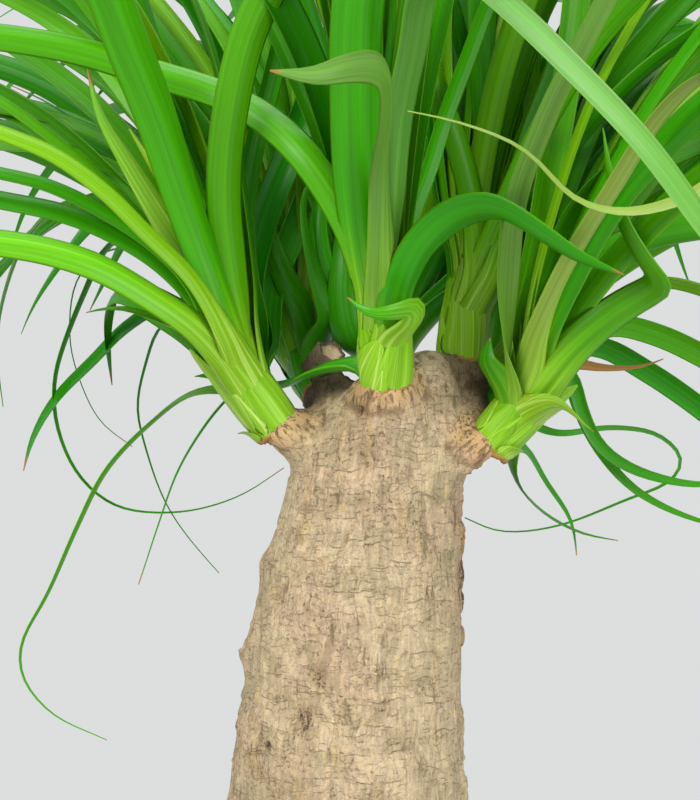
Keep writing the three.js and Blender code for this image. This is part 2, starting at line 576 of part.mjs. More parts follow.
/** One blade as a solid: a strap with a keel along its underside. */
function bladeSolid(sections, look, spare) {
  const points = [];
  sections.forEach(({ point, along, tangent, side }) => {
    const turn = radians(mix(look.turns[0], look.turns[1], along));
    const across = side.clone().applyAxisAngle(tangent, turn);
    const face = tangent.clone().cross(across);
    const reach = halfWidth(look.width, along) + spare;
    const depth = mix(KEEL_DEPTH[0], KEEL_DEPTH[1], along) + spare;
    points.push(point.clone().addScaledVector(face, -depth));
    points.push(point.clone().addScaledVector(across, reach).addScaledVector(face, spare));
    points.push(point.clone().addScaledVector(across, -reach).addScaledVector(face, spare));
  });
  const triangles = [[0, 2, 1]];
  for (let section = 0; section + 1 < sections.length; section += 1) {
    for (let corner = 0; corner < 3; corner += 1) {
      const [a, b] = [section * 3 + corner, section * 3 + ((corner + 1) % 3)];
      triangles.push([a, b, b + 3], [a, b + 3, a + 3]);
    }
  }
  const end = (sections.length - 1) * 3;
  triangles.push([end, end + 1, end + 2]);
  return solidFrom(points, triangles);
}

/** Side vector of a blade that shows its face to the front. */
function frontSide(rib) {
  const tangent = rib[3].clone().sub(rib[0]).normalize();
  return BACKWARD.clone().cross(tangent).normalize();
}

/** Side vector of a blade that turns its face to the shoot's axis. */
function innerSide(shoot, rib) {
  const tangent = rib[1].clone().sub(rib[0]).normalize();
  return shoot.axis.clone().cross(tangent).normalize();
}

/** The leaves of a shoot that are placed one by one, each as ribs to try and a look. */
function placedLeaves(name, shoot) {
  return (PLACED_LEAVES[name] ?? []).map((row) => {
    const [width, rootTurn, tipTurn] = row;
    return {
      ribs: DEPTH_SHIFTS.map((shift) => placedRib(shoot, row, shift)),
      look: { width, turns: [rootTurn, tipTurn] },
      firstSide: frontSide,
    };
  });
}

/** The leaves of a shoot that follow the growth rule, the oldest first. */
function ruledLeaves(shoot) {
  const random = seededNumbers(shoot.seed);
  const vary = (low, high) => mix(low, high, random());
  const { count, compass: [from, to], rise, length } = shoot.spread;
  return Array.from({ length: count }, (_, number) => {
    const youth = number / (count - 1);
    const place = ((number * GOLDEN_TURN) / FULL_TURN + vary(0, 0.06)) % 1;
    const compass = mix(from, to, place);
    const backward = Math.max(0, Math.sin(radians(compass)));
    const growth = {
      compass,
      rise: mix(rise[0] + BACK_RISE * backward, rise[1], youth ** 0.8) + vary(-5, 5),
      length: mix(length[0], length[1], youth) * (1 - BACK_SHORTER * backward) * vary(0.88, 1.08),
      sag: SAG * vary(0.75, 1.25),
    };
    const width = vary(...RULED_WIDTH);
    const twist = vary(-RULED_TWIST / 2, RULED_TWIST / 2);
    return {
      ribs: SWINGS.map(([swing, lift]) => ruledRib(shoot, growth, swing, lift)),
      look: { width, turns: [0, twist] },
      firstSide: (rib) => innerSide(shoot, rib),
    };
  });
}

/** True where two boxes overlap. */
function boxesMeet(one, other) {
  return [0, 1, 2].every((axis) => one.min[axis] < other.max[axis] && other.min[axis] < one.max[axis]);
}

/** Grows the leaves of every shoot, each bent clear of what is already there. */
function growShoots(shoots, obstacles) {
  const taken = obstacles.map((solid) => ({ owner: null, solid, box: solid.boundingBox() }));
  for (const [name, { core }] of shoots) taken.push({ owner: name, solid: core, box: core.boundingBox() });

  const grow = (name, shoot, leaf) => {
    for (const rib of leaf.ribs) {
      const sections = bladeSections(rib, leaf.firstSide(rib));
      const probe = bladeSolid(sections, leaf.look, CLEARANCE);
      const box = probe.boundingBox();
      const clash = taken.some((piece) => piece.owner !== name && boxesMeet(box, piece.box)
        && !probe.intersect(piece.solid).isEmpty());
      if (!clash) {
        const solid = bladeSolid(sections, leaf.look, 0);
        taken.push({ owner: name, solid, box });
        shoot.blades.push(solid);
        return;
      }
    }
  };
  for (const [name, shoot] of shoots) placedLeaves(name, shoot).forEach((leaf) => grow(name, shoot, leaf));
  for (const [name, shoot] of shoots) ruledLeaves(shoot).forEach((leaf) => grow(name, shoot, leaf));
}

// ---- The whole plant ----

const FINISHES = {
  pot: new THREE.MeshStandardMaterial({ color: 0xb8714c, roughness: 0.85, metalness: 0 }),
  soil: new THREE.MeshStandardMaterial({ color: 0x3d2b1f, roughness: 1, metalness: 0 }),
  bark: new THREE.MeshStandardMaterial({ color: 0xa8977c, roughness: 0.9, metalness: 0 }),
  leaf: new THREE.MeshStandardMaterial({ color: 0x5f8f2f, roughness: 0.45, metalness: 0 }),
};

const trunk = makeTrunk();
const pot = makePot();
const soil = makeSoil();

const shoots = Object.entries(SHOOTS).map(([name, row], number) => {
  const axis = vector(row.axis).normalize();
  const base = vector(row.base).addScaledVector(axis, SEAT_GAP);
  const core = taperedBar(base, base.clone().addScaledVector(axis, CORE_LENGTH), ...CORE_RADII, CORE_SIDES);
  return [name, { base, axis, core, spread: row.spread, seed: FIRST_SEED + number, blades: [] }];
});
growShoots(shoots, [trunk, pot, soil]);

const palm = new THREE.Group();
palm.name = 'potted_ponytail_palm';
palm.add(meshFrom('pot', pot, FINISHES.pot));
palm.add(meshFrom('soil', soil, FINISHES.soil));
palm.add(meshFrom('trunk', trunk, FINISHES.bark));
for (const [name, { core, blades }] of shoots) {
  palm.add(meshFrom(`shoot_${name}`, fuse([core, ...blades]), FINISHES.leaf));
}

export default palm;
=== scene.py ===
"""Looks of a potted ponytail palm.

A turned clay pot, soil with bark chips, a corky trunk with a swollen foot, and seven leafy
shoots. The plant is laid out in millimetres, as its solids are, and made in metres.
"""

import logging
import math
from collections.abc import Mapping, Sequence
from dataclasses import dataclass, field, replace
from enum import Enum

import bpy
import numpy as np
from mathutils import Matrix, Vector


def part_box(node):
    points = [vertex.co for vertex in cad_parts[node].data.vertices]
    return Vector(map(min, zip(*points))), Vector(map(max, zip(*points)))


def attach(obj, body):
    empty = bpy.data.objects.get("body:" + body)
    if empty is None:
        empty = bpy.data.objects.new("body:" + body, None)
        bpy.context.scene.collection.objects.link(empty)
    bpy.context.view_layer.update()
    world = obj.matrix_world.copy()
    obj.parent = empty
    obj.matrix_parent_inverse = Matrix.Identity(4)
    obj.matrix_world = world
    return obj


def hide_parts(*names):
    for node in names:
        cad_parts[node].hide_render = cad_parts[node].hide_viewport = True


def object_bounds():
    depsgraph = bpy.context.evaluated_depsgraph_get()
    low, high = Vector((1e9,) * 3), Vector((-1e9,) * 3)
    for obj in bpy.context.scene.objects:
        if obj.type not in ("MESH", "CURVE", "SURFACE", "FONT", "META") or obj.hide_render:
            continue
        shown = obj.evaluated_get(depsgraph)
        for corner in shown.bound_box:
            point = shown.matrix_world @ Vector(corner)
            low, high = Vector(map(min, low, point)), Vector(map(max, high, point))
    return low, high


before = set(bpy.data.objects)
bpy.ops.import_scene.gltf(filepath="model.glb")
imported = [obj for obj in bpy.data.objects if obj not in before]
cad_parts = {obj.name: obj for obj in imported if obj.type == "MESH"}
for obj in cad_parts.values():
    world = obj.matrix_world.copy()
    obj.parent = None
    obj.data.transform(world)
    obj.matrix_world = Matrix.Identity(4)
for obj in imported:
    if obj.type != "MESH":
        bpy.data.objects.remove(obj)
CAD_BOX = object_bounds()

log = logging.getLogger("palm")

MM = 0.001  # one millimetre in the scene's metres
BODY = "root"
VECTOR = "FLOAT_VECTOR"
Values = Mapping[str | int, object]
Array = np.ndarray
Object, Material, Mesh, Node = bpy.types.Object, bpy.types.Material, bpy.types.Mesh, bpy.types.Node
Range = tuple[float, float]  # low and high, or first and last
Corner = tuple[float, float]  # of an outline: radius and height
Point = tuple[float, float, float]
Colour = tuple[float, float, float]

# ---- Node trees written as expressions ----


class Term:
    """A node socket that takes part in Python expressions; each operator adds its node."""

    def __init__(self, graph: "Graph", socket: bpy.types.NodeSocket) -> None:
        """Wraps a socket of a graph."""
        self.graph = graph
        self.socket = socket

    @property
    def wide(self) -> bool:
        """True for a vector or a colour, which go through Vector Math."""
        return self.socket.type in {"VECTOR", "RGBA"}

    def join(self, operation: str, first: object, second: object) -> "Term":
        """Adds the node of one operation.

        Args:
            operation: the Math or Vector Math operation.
            first: the left value, a Term or a number.
            second: the right value, a Term or a number.

        Returns:
            The result as a Term.
        """
        wide = any(isinstance(value, Term) and value.wide for value in (first, second))
        kind = "ShaderNodeVectorMath" if wide else "ShaderNodeMath"
        node = self.graph.add(kind, {"operation": operation}, {0: first, 1: second})
        return Term(self.graph, node.outputs[0])

    def __add__(self, other: object) -> "Term":
        """Sum."""
        return self.join("ADD", self, other)

    def __sub__(self, other: object) -> "Term":
        """Difference."""
        return self.join("SUBTRACT", self, other)

    def __rsub__(self, other: object) -> "Term":
        """Difference from a number on the left."""
        return self.join("SUBTRACT", other, self)

    def __mul__(self, other: object) -> "Term":
        """Product."""
        return self.join("MULTIPLY", self, other)

    def __truediv__(self, other: object) -> "Term":
        """Quotient."""
        return self.join("DIVIDE", self, other)

    def __rtruediv__(self, other: object) -> "Term":
        """Quotient of a number on the left."""
        return self.join("DIVIDE", other, self)

    __radd__ = __add__
    __rmul__ = __mul__

    def __abs__(self) -> "Term":
        """Absolute value."""
        return self.of_one("ABSOLUTE")

    def of_one(self, operation: str) -> "Term":
        """The result of a Math operation that takes one value."""
        return self.join(operation, self, 0.0)


class Graph:
    """A material's or a modifier's node tree, with one method that adds any node."""

    def __init__(self, tree: bpy.types.NodeTree) -> None:
        """Takes over an empty tree."""
        self.tree = tree

    def add(self, kind: str, settings: Values | None = None, inputs: Values | None = None) -> Node:
        """Adds a node, sets it, then fills or links its sockets.

        Args:
            kind: the node's type.
            settings: its properties; "stops" are a ramp's positions and colours.
            inputs: a value or a Term for each socket, by name or index.

        Returns:
            The node.
        """
        node = self.tree.nodes.new(kind)
        for name, value in (settings or {}).items():
            if name == "stops":
                self._set_stops(node.color_ramp, value)
            else:
                setattr(node, name, value)
        for key, value in (inputs or {}).items():
            self.plug(node.inputs[key], value)
        return node

    @staticmethod
    def _set_stops(ramp: bpy.types.ColorRamp, stops: Sequence[tuple[float, Colour]]) -> None:
        """Gives a colour ramp its stops.

        Args:
            ramp: the ramp.
            stops: position and colour of each stop.
        """
        while len(ramp.elements) < len(stops):
            ramp.elements.new(1.0)
        for element, (position, colour) in zip(ramp.elements, stops):
            element.position = position
            element.color = (*colour, 1.0)

    def plug(self, socket: bpy.types.NodeSocket, value: object) -> None:
        """Links a Term to a socket or sets the socket's own value.

        Args:
            socket: the socket.
            value: a Term, a number, or the parts of a vector or a colour.
        """
        if isinstance(value, Term):
            self.tree.links.new(value.socket, socket)
        elif socket.type == "VECTOR" and isinstance(value, (int, float)):
            socket.default_value = (value, value, value)
        elif socket.type == "RGBA":
            socket.default_value = (*value, 1.0)
        else:
            socket.default_value = value

    def term(self, node: Node, output: str | int = 0) -> Term:
        """An output of a node as a Term."""
        return Term(self, node.outputs[output])

    def noise(self, place: Term, scale: float, detail: float = 2.0, rough: float = 0.5) -> Term:
        """Fractal noise from 0 to 1 at a place."""
        inputs = {"Vector": place, "Scale": scale, "Detail": detail, "Roughness": rough}
        return self.term(self.add("ShaderNodeTexNoise", None, inputs))

    def cells(self, place: Term, scale: Point, feature: str = "DISTANCE_TO_EDGE") -> Node:
        """A pattern of cells, so many a metre along each axis."""
        inputs = {"Vector": self.stretch(place, scale), "Scale": 1.0}
        return self.add("ShaderNodeTexVoronoi", {"feature": feature}, inputs)

    def stray(self, place: Term, scale: float, reach: float) -> Term:
        """A place moved about by up to half of reach, so that straight lines wander."""
        noise = self.add("ShaderNodeTexNoise", None, {"Vector": place, "Scale": scale, "Detail": 2.0})
        return place + (self.term(noise, "Color") - 0.5) * reach

    def rise(self, value: object, low: float, high: float) -> Term:
        """A smooth step from 0 at low to 1 at high."""
        inputs = {"Value": value, "From Min": low, "From Max": high}
        return self.term(self.add("ShaderNodeMapRange", {"interpolation_type": "SMOOTHSTEP"}, inputs))

    def stretch(self, place: Term, scale: Point) -> Term:
        """A place with each axis multiplied by its own number."""
        node = self.add("ShaderNodeVectorMath", {"operation": "MULTIPLY"}, {0: place, 1: scale})
        return self.term(node)

    def parts(self, vector: Term) -> list[Term]:
        """The three parts of a vector."""
        node = self.add("ShaderNodeSeparateXYZ", None, {0: vector})
        return [self.term(node, i) for i in range(3)]

    def vector(self, x: object, y: object, z: object) -> Term:
        """A vector from its three parts."""
        return self.term(self.add("ShaderNodeCombineXYZ", None, {0: x, 1: y, 2: z}))


class MaterialGraph(Graph):
    """The node tree of one material, around a Principled shader."""

    def __init__(self, name: str, shine: float) -> None:
        """Starts a material.

        Args:
            name: the material's name.
            shine: how strongly it mirrors; 0.5 is usual.
        """
        self.material = bpy.data.materials.new(name)
        self.material.use_nodes = True
        super().__init__(self.material.node_tree)
        self.tree.nodes.clear()
        self.shader = self.add("ShaderNodeBsdfPrincipled", None, {"Specular IOR Level": shine})
        self.add("ShaderNodeOutputMaterial", None, {"Surface": self.term(self.shader)})

    def place(self) -> Term:
        """Object coordinates, in metres."""
        return self.term(self.add("ShaderNodeTexCoord"), "Object")

    def attribute(self, name: str, output: str) -> Term:
        """An attribute of the mesh, read as its Fac, Color or Vector."""
        return self.term(self.add("ShaderNodeAttribute", {"attribute_name": name}), output)

    def mix(self, share: object, first: object, second: object, blend: str = "MIX") -> Term:
        """Mixes two colours by a share from 0 to 1."""
        settings = {"data_type": "RGBA", "blend_type": blend}
        return self.term(self.add("ShaderNodeMix", settings, {0: share, 6: first, 7: second}), 2)

    def mixed(self, share: object, first: Term, second: Term) -> Term:
        """Mixes two numbers by a share from 0 to 1."""
        return self.term(self.add("ShaderNodeMix", {"data_type": "FLOAT"}, {0: share, 2: first, 3: second}))

    def shaded(self, colour: Term, shade: Term) -> Term:
        """A colour made darker or lighter by a factor."""
        return self.mix(1.0, colour, self.vector(shade, shade, shade), "MULTIPLY")

    def layered(self, colour: Term, *layers: tuple[Term, object]) -> Term:
        """Lays further colours over one.

        Args:
            colour: the lowest.
            layers: share and colour of each layer, the lowest first.

        Returns:
            The colour on top.
        """
        for share, above in layers:
            colour = self.mix(share, colour, above)
        return colour

    def ramp(self, value: Term, *stops: tuple[float, Colour]) -> Term:
        """Colours along a value."""
        return self.term(self.add("ShaderNodeValToRGB", {"stops": stops}, {"Fac": value}))

    def dress(self, colour: Term, roughness: Term, height: Term, depth: float) -> Material:
        """Feeds the shader.

        Args:
            colour: the base colour.
            roughness: the roughness.
            height: the relief, in units of depth.
            depth: the relief's height in metres.

        Returns:
            The finished material.
        """
        bump = self.add("ShaderNodeBump", None, {"Strength": 1.0, "Distance": depth, "Height": height})
        self.plug(self.shader.inputs["Base Color"], colour)
        self.plug(self.shader.inputs["Roughness"], roughness)
        self.plug(self.shader.inputs["Normal"], self.term(bump))
        return self.material


class ShapeGraph(Graph):
    """The node tree of one Geometry Nodes modifier, with named inputs."""

    KINDS = {float: "NodeSocketFloat", int: "NodeSocketInt"}

    def __init__(self, name: str, **inputs: float | int | Object) -> None:
        """Starts a tree.

        Args:
            name: the tree's name.
            inputs: the named inputs with their values.
        """
        super().__init__(bpy.data.node_groups.new(name, "GeometryNodeTree"))
        face = self.tree.interface
        face.new_socket("Geometry", in_out="INPUT", socket_type="NodeSocketGeometry")
        face.new_socket("Geometry", in_out="OUTPUT", socket_type="NodeSocketGeometry")
        self.values = {"Finish": None, **inputs}
        self.sockets = {}
        for label, value in self.values.items():
            kind = self.KINDS.get(type(value), "NodeSocketMaterial")
            self.sockets[label] = face.new_socket(label, in_out="INPUT", socket_type=kind)
        self.source = self.add("NodeGroupInput")

    def input(self, label: str) -> Term:
        """A named input of the tree."""
        return self.term(self.source, label)

    def named(self, name: str, kind: str = "FLOAT") -> Term:
        """A named attribute of the geometry."""
        return self.term(self.add("GeometryNodeInputNamedAttribute", {"data_type": kind}, {"Name": name}))

    def store(self, geometry: Term, name: str, value: Term, kind: str = "FLOAT") -> Term:
        """Stores a value on the geometry's points."""
        inputs = {"Geometry": geometry, "Name": name, "Value": value}
        return self.term(self.add("GeometryNodeStoreNamedAttribute", {"data_type": kind}, inputs))

    def apply(self, piece: Object, geometry: Term, finish: Material) -> None:
        """Ends the tree, runs it on a piece and keeps the result as the piece's plain mesh.

        Args:
            piece: the object that the tree works on.
            geometry: what the tree gives out.
            finish: the material that it sets.
        """
        real = self.add("GeometryNodeRealizeInstances", None, {"Geometry": geometry})
        inputs = {"Geometry": self.term(real), "Material": self.input("Finish")}
        dressed = self.add("GeometryNodeSetMaterial", None, inputs)
        self.add("NodeGroupOutput", None, {"Geometry": self.term(dressed)})
        modifier = piece.modifiers.new(self.tree.name, "NODES")
        modifier.node_group = self.tree
        for label, value in {**self.values, "Finish": finish}.items():
            modifier[self.sockets[label].identifier] = value
        bake(piece)


# ---- Meshes ----


def bake(piece: Object) -> None:
    """Turns a piece's modifiers into its plain mesh, smooth shaded.

    Args:
        piece: the piece.
    """
    evaluated = piece.evaluated_get(bpy.context.evaluated_depsgraph_get())
    mesh = bpy.data.meshes.new_from_object(evaluated)
    old = piece.data
    piece.modifiers.clear()
    piece.data = mesh
    bpy.data.meshes.remove(old)
    mesh.name = piece.name
    mesh.polygons.foreach_set("use_smooth", np.ones(len(mesh.polygons), bool))


def make_object(
    name: str, points: Array, edges: Sequence[tuple[int, int]] = (), faces: Sequence[Sequence[int]] = (),
    attributes: Mapping[str, Array] | None = None,
) -> Object:
    """Makes an object at the origin.

    Args:
        name: its name.
        points: its vertices, in metres.
        edges: loose edges.
        faces: faces, with their corners anticlockwise from outside.
        attributes: point attributes, of one or three numbers a point.

    Returns:
        The object, in the scene.
    """
    mesh = bpy.data.meshes.new(name)
    mesh.from_pydata(points.tolist(), edges, faces)
    for label, values in (attributes or {}).items():
        add_attribute(mesh, label, values)
    mesh.polygons.foreach_set("use_smooth", np.ones(len(mesh.polygons), bool))
    mesh.update()
    piece = bpy.data.objects.new(name, mesh)
    bpy.context.scene.collection.objects.link(piece)
    return piece


def add_attribute(mesh: Mesh, name: str, values: Array) -> None:
    """Adds a point attribute.

    Args:
        mesh: the mesh.
        name: the attribute's name.
        values: one or three numbers a point.
    """
    wide = np.ndim(values) == 2
    made = mesh.attributes.new(name, VECTOR if wide else "FLOAT", "POINT")
    made.data.foreach_set("vector" if wide else "value", np.asarray(values, np.float32).ravel())


def points_of(mesh: Mesh) -> Array:
    """The vertices of a mesh.

    Args:
        mesh: the mesh.

    Returns:
        A row for each vertex.
    """
    flat = np.empty(len(mesh.vertices) * 3, np.float32)
    mesh.vertices.foreach_get("co", flat)
    return flat.reshape(-1, 3).astype(float)


def turned(outline: Sequence[Corner], sides: int) -> tuple[Array, list[list[int]]]:
    """A closed body turned about the vertical axis.

    Args:
        outline: radius and height of each corner, anticlockwise from the underside's middle
            to the last corner on the axis.
        sides: faces around.

    Returns:
        Vertices and faces.
    """
    ring = np.linspace(0, 2 * math.pi, sides, endpoint=False)
    wall = outline[1:-1]
    points = [(r * math.cos(a), r * math.sin(a), z) for r, z in wall for a in ring]
    points += [(0, 0, outline[0][1]), (0, 0, outline[-1][1])]
    bottom, top = len(points) - 2, len(points) - 1
    faces = []
    for i in range(sides):
        j = (i + 1) % sides
        faces.append([bottom, j, i])
        for low in range(0, (len(wall) - 1) * sides, sides):
            faces.append([low + i, low + j, low + sides + j, low + sides + i])
        crown = (len(wall) - 1) * sides
        faces.append([crown + i, crown + j, top])
    return np.array(points), faces


def hand_over(piece: Object, node: str) -> None:
    """Ties a finished piece to the frame and reports it.

    Args:
        piece: the piece, at the origin, with no modifiers.
        node: the solid that it stands for.
    """
    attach(piece, BODY)
    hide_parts(node)
    log.info("%s: %d faces, stands for %s", piece.name, len(piece.data.polygons), node)


# ---- Small maths ----


def mix(low: float, high: float, share: float) -> float:
    """A value between two others."""
    return low + (high - low) * share


def smooth(value: Array, low: float, high: float) -> Array:
    """A smooth step from 0 at low to 1 at high."""
    share = np.clip((value - low) / (high - low), 0, 1)
    return share * share * (3 - 2 * share)


def unit(vector: Sequence[float]) -> Array:
    """A vector at length 1."""
    values = np.asarray(vector, float)
    return values / max(np.linalg.norm(values), 1e-12)


def across_to(vector: Array, axis: Array) -> Array:
    """The part of a vector that is square to an axis, at length 1."""
    return unit(vector - np.dot(vector, axis) * axis)


def axes_about(up: Array) -> Array:
    """Three axes, a row each, of which the last points up along a growing part."""
    side = unit(np.cross(up, (0.3, 1, 0.1)))
    return np.array([side, np.cross(up, side), up])


def distances_along(line: Array) -> Array:
    """How far along a line each of its points is."""
    return np.append(0, np.cumsum(np.linalg.norm(np.diff(line, axis=0), axis=1)))


def curve_through(points: Sequence[Array], steps: int) -> Array:
    """A smooth curve through points, which doesn't loop where they stand close.

    Args:
        points: what it passes through.
        steps: steps between two of them.

    Returns:
        The curve's points.
    """
    ends = [2 * points[0] - points[1], *points, 2 * points[-1] - points[-2]]
    share = np.linspace(0, 1, steps, endpoint=False)[:, None]
    curve = []
    for p0, p1, p2, p3 in zip(ends, ends[1:], ends[2:], ends[3:]):
        d1 = max(np.linalg.norm(p2 - p1) ** 0.5, 1e-2)
        d0 = max(np.linalg.norm(p1 - p0) ** 0.5, 1e-2)
        d2 = max(np.linalg.norm(p3 - p2) ** 0.5, 1e-2)
        leave = d1 * ((p1 - p0) / d0 - (p2 - p0) / (d0 + d1) + (p2 - p1) / d1)
        reach = d1 * ((p2 - p1) / d1 - (p3 - p1) / (d1 + d2) + (p3 - p2) / d2)
        square = 3 * (p2 - p1) - 2 * leave - reach
        cube = 2 * (p1 - p2) + leave + reach
        curve.append(p1 + leave * share + square * share**2 + cube * share**3)
    return np.vstack([*curve, points[-1]])


class Draws:
    """Draws that are the same each time, and the same as the solids' own."""

    FACTOR, SHIFT, SPAN = 1664525, 1013904223, 2**32

    def __init__(self, seed: int) -> None:
        """Starts the draws at a seed."""
        self.state = seed

    def between(self, low: float, high: float) -> float:
        """The next draw between two limits."""
        self.state = (self.state * self.FACTOR + self.SHIFT) % self.SPAN
        return mix(low, high, self.state / self.SPAN)


# ---- How the leaves grow, in millimetres ----


class Tone(Enum):
    """How a leaf is coloured: its green, how far its pale foot reaches, and how pale that is."""

    GREEN = ((0.050, 0.275, 0.001), 110.0, 0.8)
    YOUNG = ((0.270, 0.500, 0.060), 330.0, 1.0)
    LIME = ((0.125, 0.380, 0.004), 170.0, 0.9)
    HAZY = ((0.150, 0.290, 0.040), 150.0, 0.6)
    # DARK: a deeper green, also painted shade for leaves on the crown's shaded inner side
    DARK = ((0.030, 0.250, 0.002), 70.0, 0.5)
    # SHADE: painted shade for leaves and sheaths deep in the crown and at the back
    SHADE = ((0.032, 0.265, 0.003), 45.0, 0.25)
    DEAD = ((0.240, 0.100, 0.030), 20.0, 0.0)
    SHEATH = ((0.150, 0.370, 0.004), 60.0, 0.8)

    def __init__(self, dye: Colour, pale_reach: float, paleness: float) -> None:
        """Gives a tone's three values their names."""
        self.dye, self.pale_reach, self.paleness = dye, pale_reach, paleness


@dataclass(frozen=True)
class Strap:
    """A leaf that is placed at listed points."""

    width: float
    turns: Range  # of its blade at root and tip, in degrees
    length: float  # 0 ends it at its last point
    tone: Tone
    via: tuple[Point, ...]  # what its rib passes through
    taper: float = 1.6  # lower for a blade that narrows early, higher for a blunt one


@dataclass(frozen=True)
class Clasp:
    """A scale that is placed one by one at the foot of a shoot: by default a short lip that curls out."""

    side: Point
    length: float = 11.0
    curl: float = 4.5
    reach: float = 13.4
    slant: float = 0.0
    breadth: float = 10.0


@dataclass(frozen=True)
class Spread:
    """Leaves that follow the growth rule: how many, and their range from oldest to youngest."""

    count: int
    compass: Range
    rise: Range
    length: Range


@dataclass(frozen=True)
class Leaf:
    """One leaf, laid out but not yet dressed."""

    rib: Array
    width: float
    turns: Range  # of its blade at root and tip, in degrees
    side: Array  # the first side of its blade
    tone: Tone
    outward: Array  # the side of the core that it leaves from
    foot: float  # where it leaves the core: 0 low, 1 high
    taper: float


@dataclass(frozen=True)
class Growth:
    """The rule by which leaves arch and spread."""

    core_length: float = 38.0
    core_radii: Range = (13.0, 13.5)
    root_offset: float = 0.6  # how deep in the core a rib starts, as a share of its radius
    foot_upright: float = 0.85  # how high on the core an upright leaf starts
    foot_drop: float = 0.65  # how much lower a level one does
    foot_range: Range = (0.2, 0.8)
    step: float = 8.0  # between two points of an arching rib
    sag: float = 0.0062
    root_sag: float = 0.35  # sag at the root, as a share
    fall_reach: float = 0.45
    fall_spread: float = 0.3
    middle: Point = (25.0, 0.0, 0.0)  # leaves fall away from here
    back_rise: float = 16.0  # leaves at the back rise more and are shorter
    back_shorter: float = 0.14
    steepest_rise: float = 88.0
    widths: Range = (12.0, 18.0)
    twist: float = 50.0
    golden_turn: float = 137.508
    compass_stray: float = 0.06
    rise_stray: float = 5.0
    rise_power: float = 0.8  # below 1, leaves grow upright sooner as they get younger
    lengths: Range = (0.88, 1.08)
    sags: Range = (0.75, 1.25)
    taper: float = 1.6
    fresh_from: float = 0.8  # leaves younger than this share are fresh green
    shaded_from: float = 20.0  # leaves that grow behind this depth take the DARK tone, as painted shade
    curve_steps: int = 10  # between two points of a placed leaf's rib
    # Tries that the solids' own leaves went through, until one stood clear of the others.
    depth_shifts: tuple[int, ...] = (0, 7, -7, 14, -14, 21, -21, 30, -30, 40, -40)
    swings: tuple[tuple[int, int], ...] = (
        (0, 0), (5, 0), (-5, 0), (0, -6), (10, -3), (-10, -3), (16, 0), (-16, 0), (22, -8), (-22, -8),
    )

    def arch(self, rib: list[Array], length: float, sag: float) -> Array:
        """Lets a rib go on from its last point, arching down under its weight.

        Args:
            rib: the points so far.
            length: the whole length to reach.
            sag: the turn towards the ground for each millimetre.

        Returns:
            The whole rib.
        """
        heading = unit(rib[-1] - rib[-2])
        fall = unit((rib[-1] - self.middle) * (1, 1, 0))
        level = unit(heading * (1, 1, 0) + fall * self.fall_spread)
        pull = level * self.fall_reach - (0, 0, 1)
        travelled = float(np.linalg.norm(np.diff(rib, axis=0), axis=1).sum())
        while travelled < length:
            strength = sag * mix(self.root_sag, 1, travelled / length)
            heading = unit(heading + pull * strength * self.step)
            rib.append(rib[-1] + heading * self.step)
            travelled += self.step
        return np.array(rib)


GROWTH = Growth()


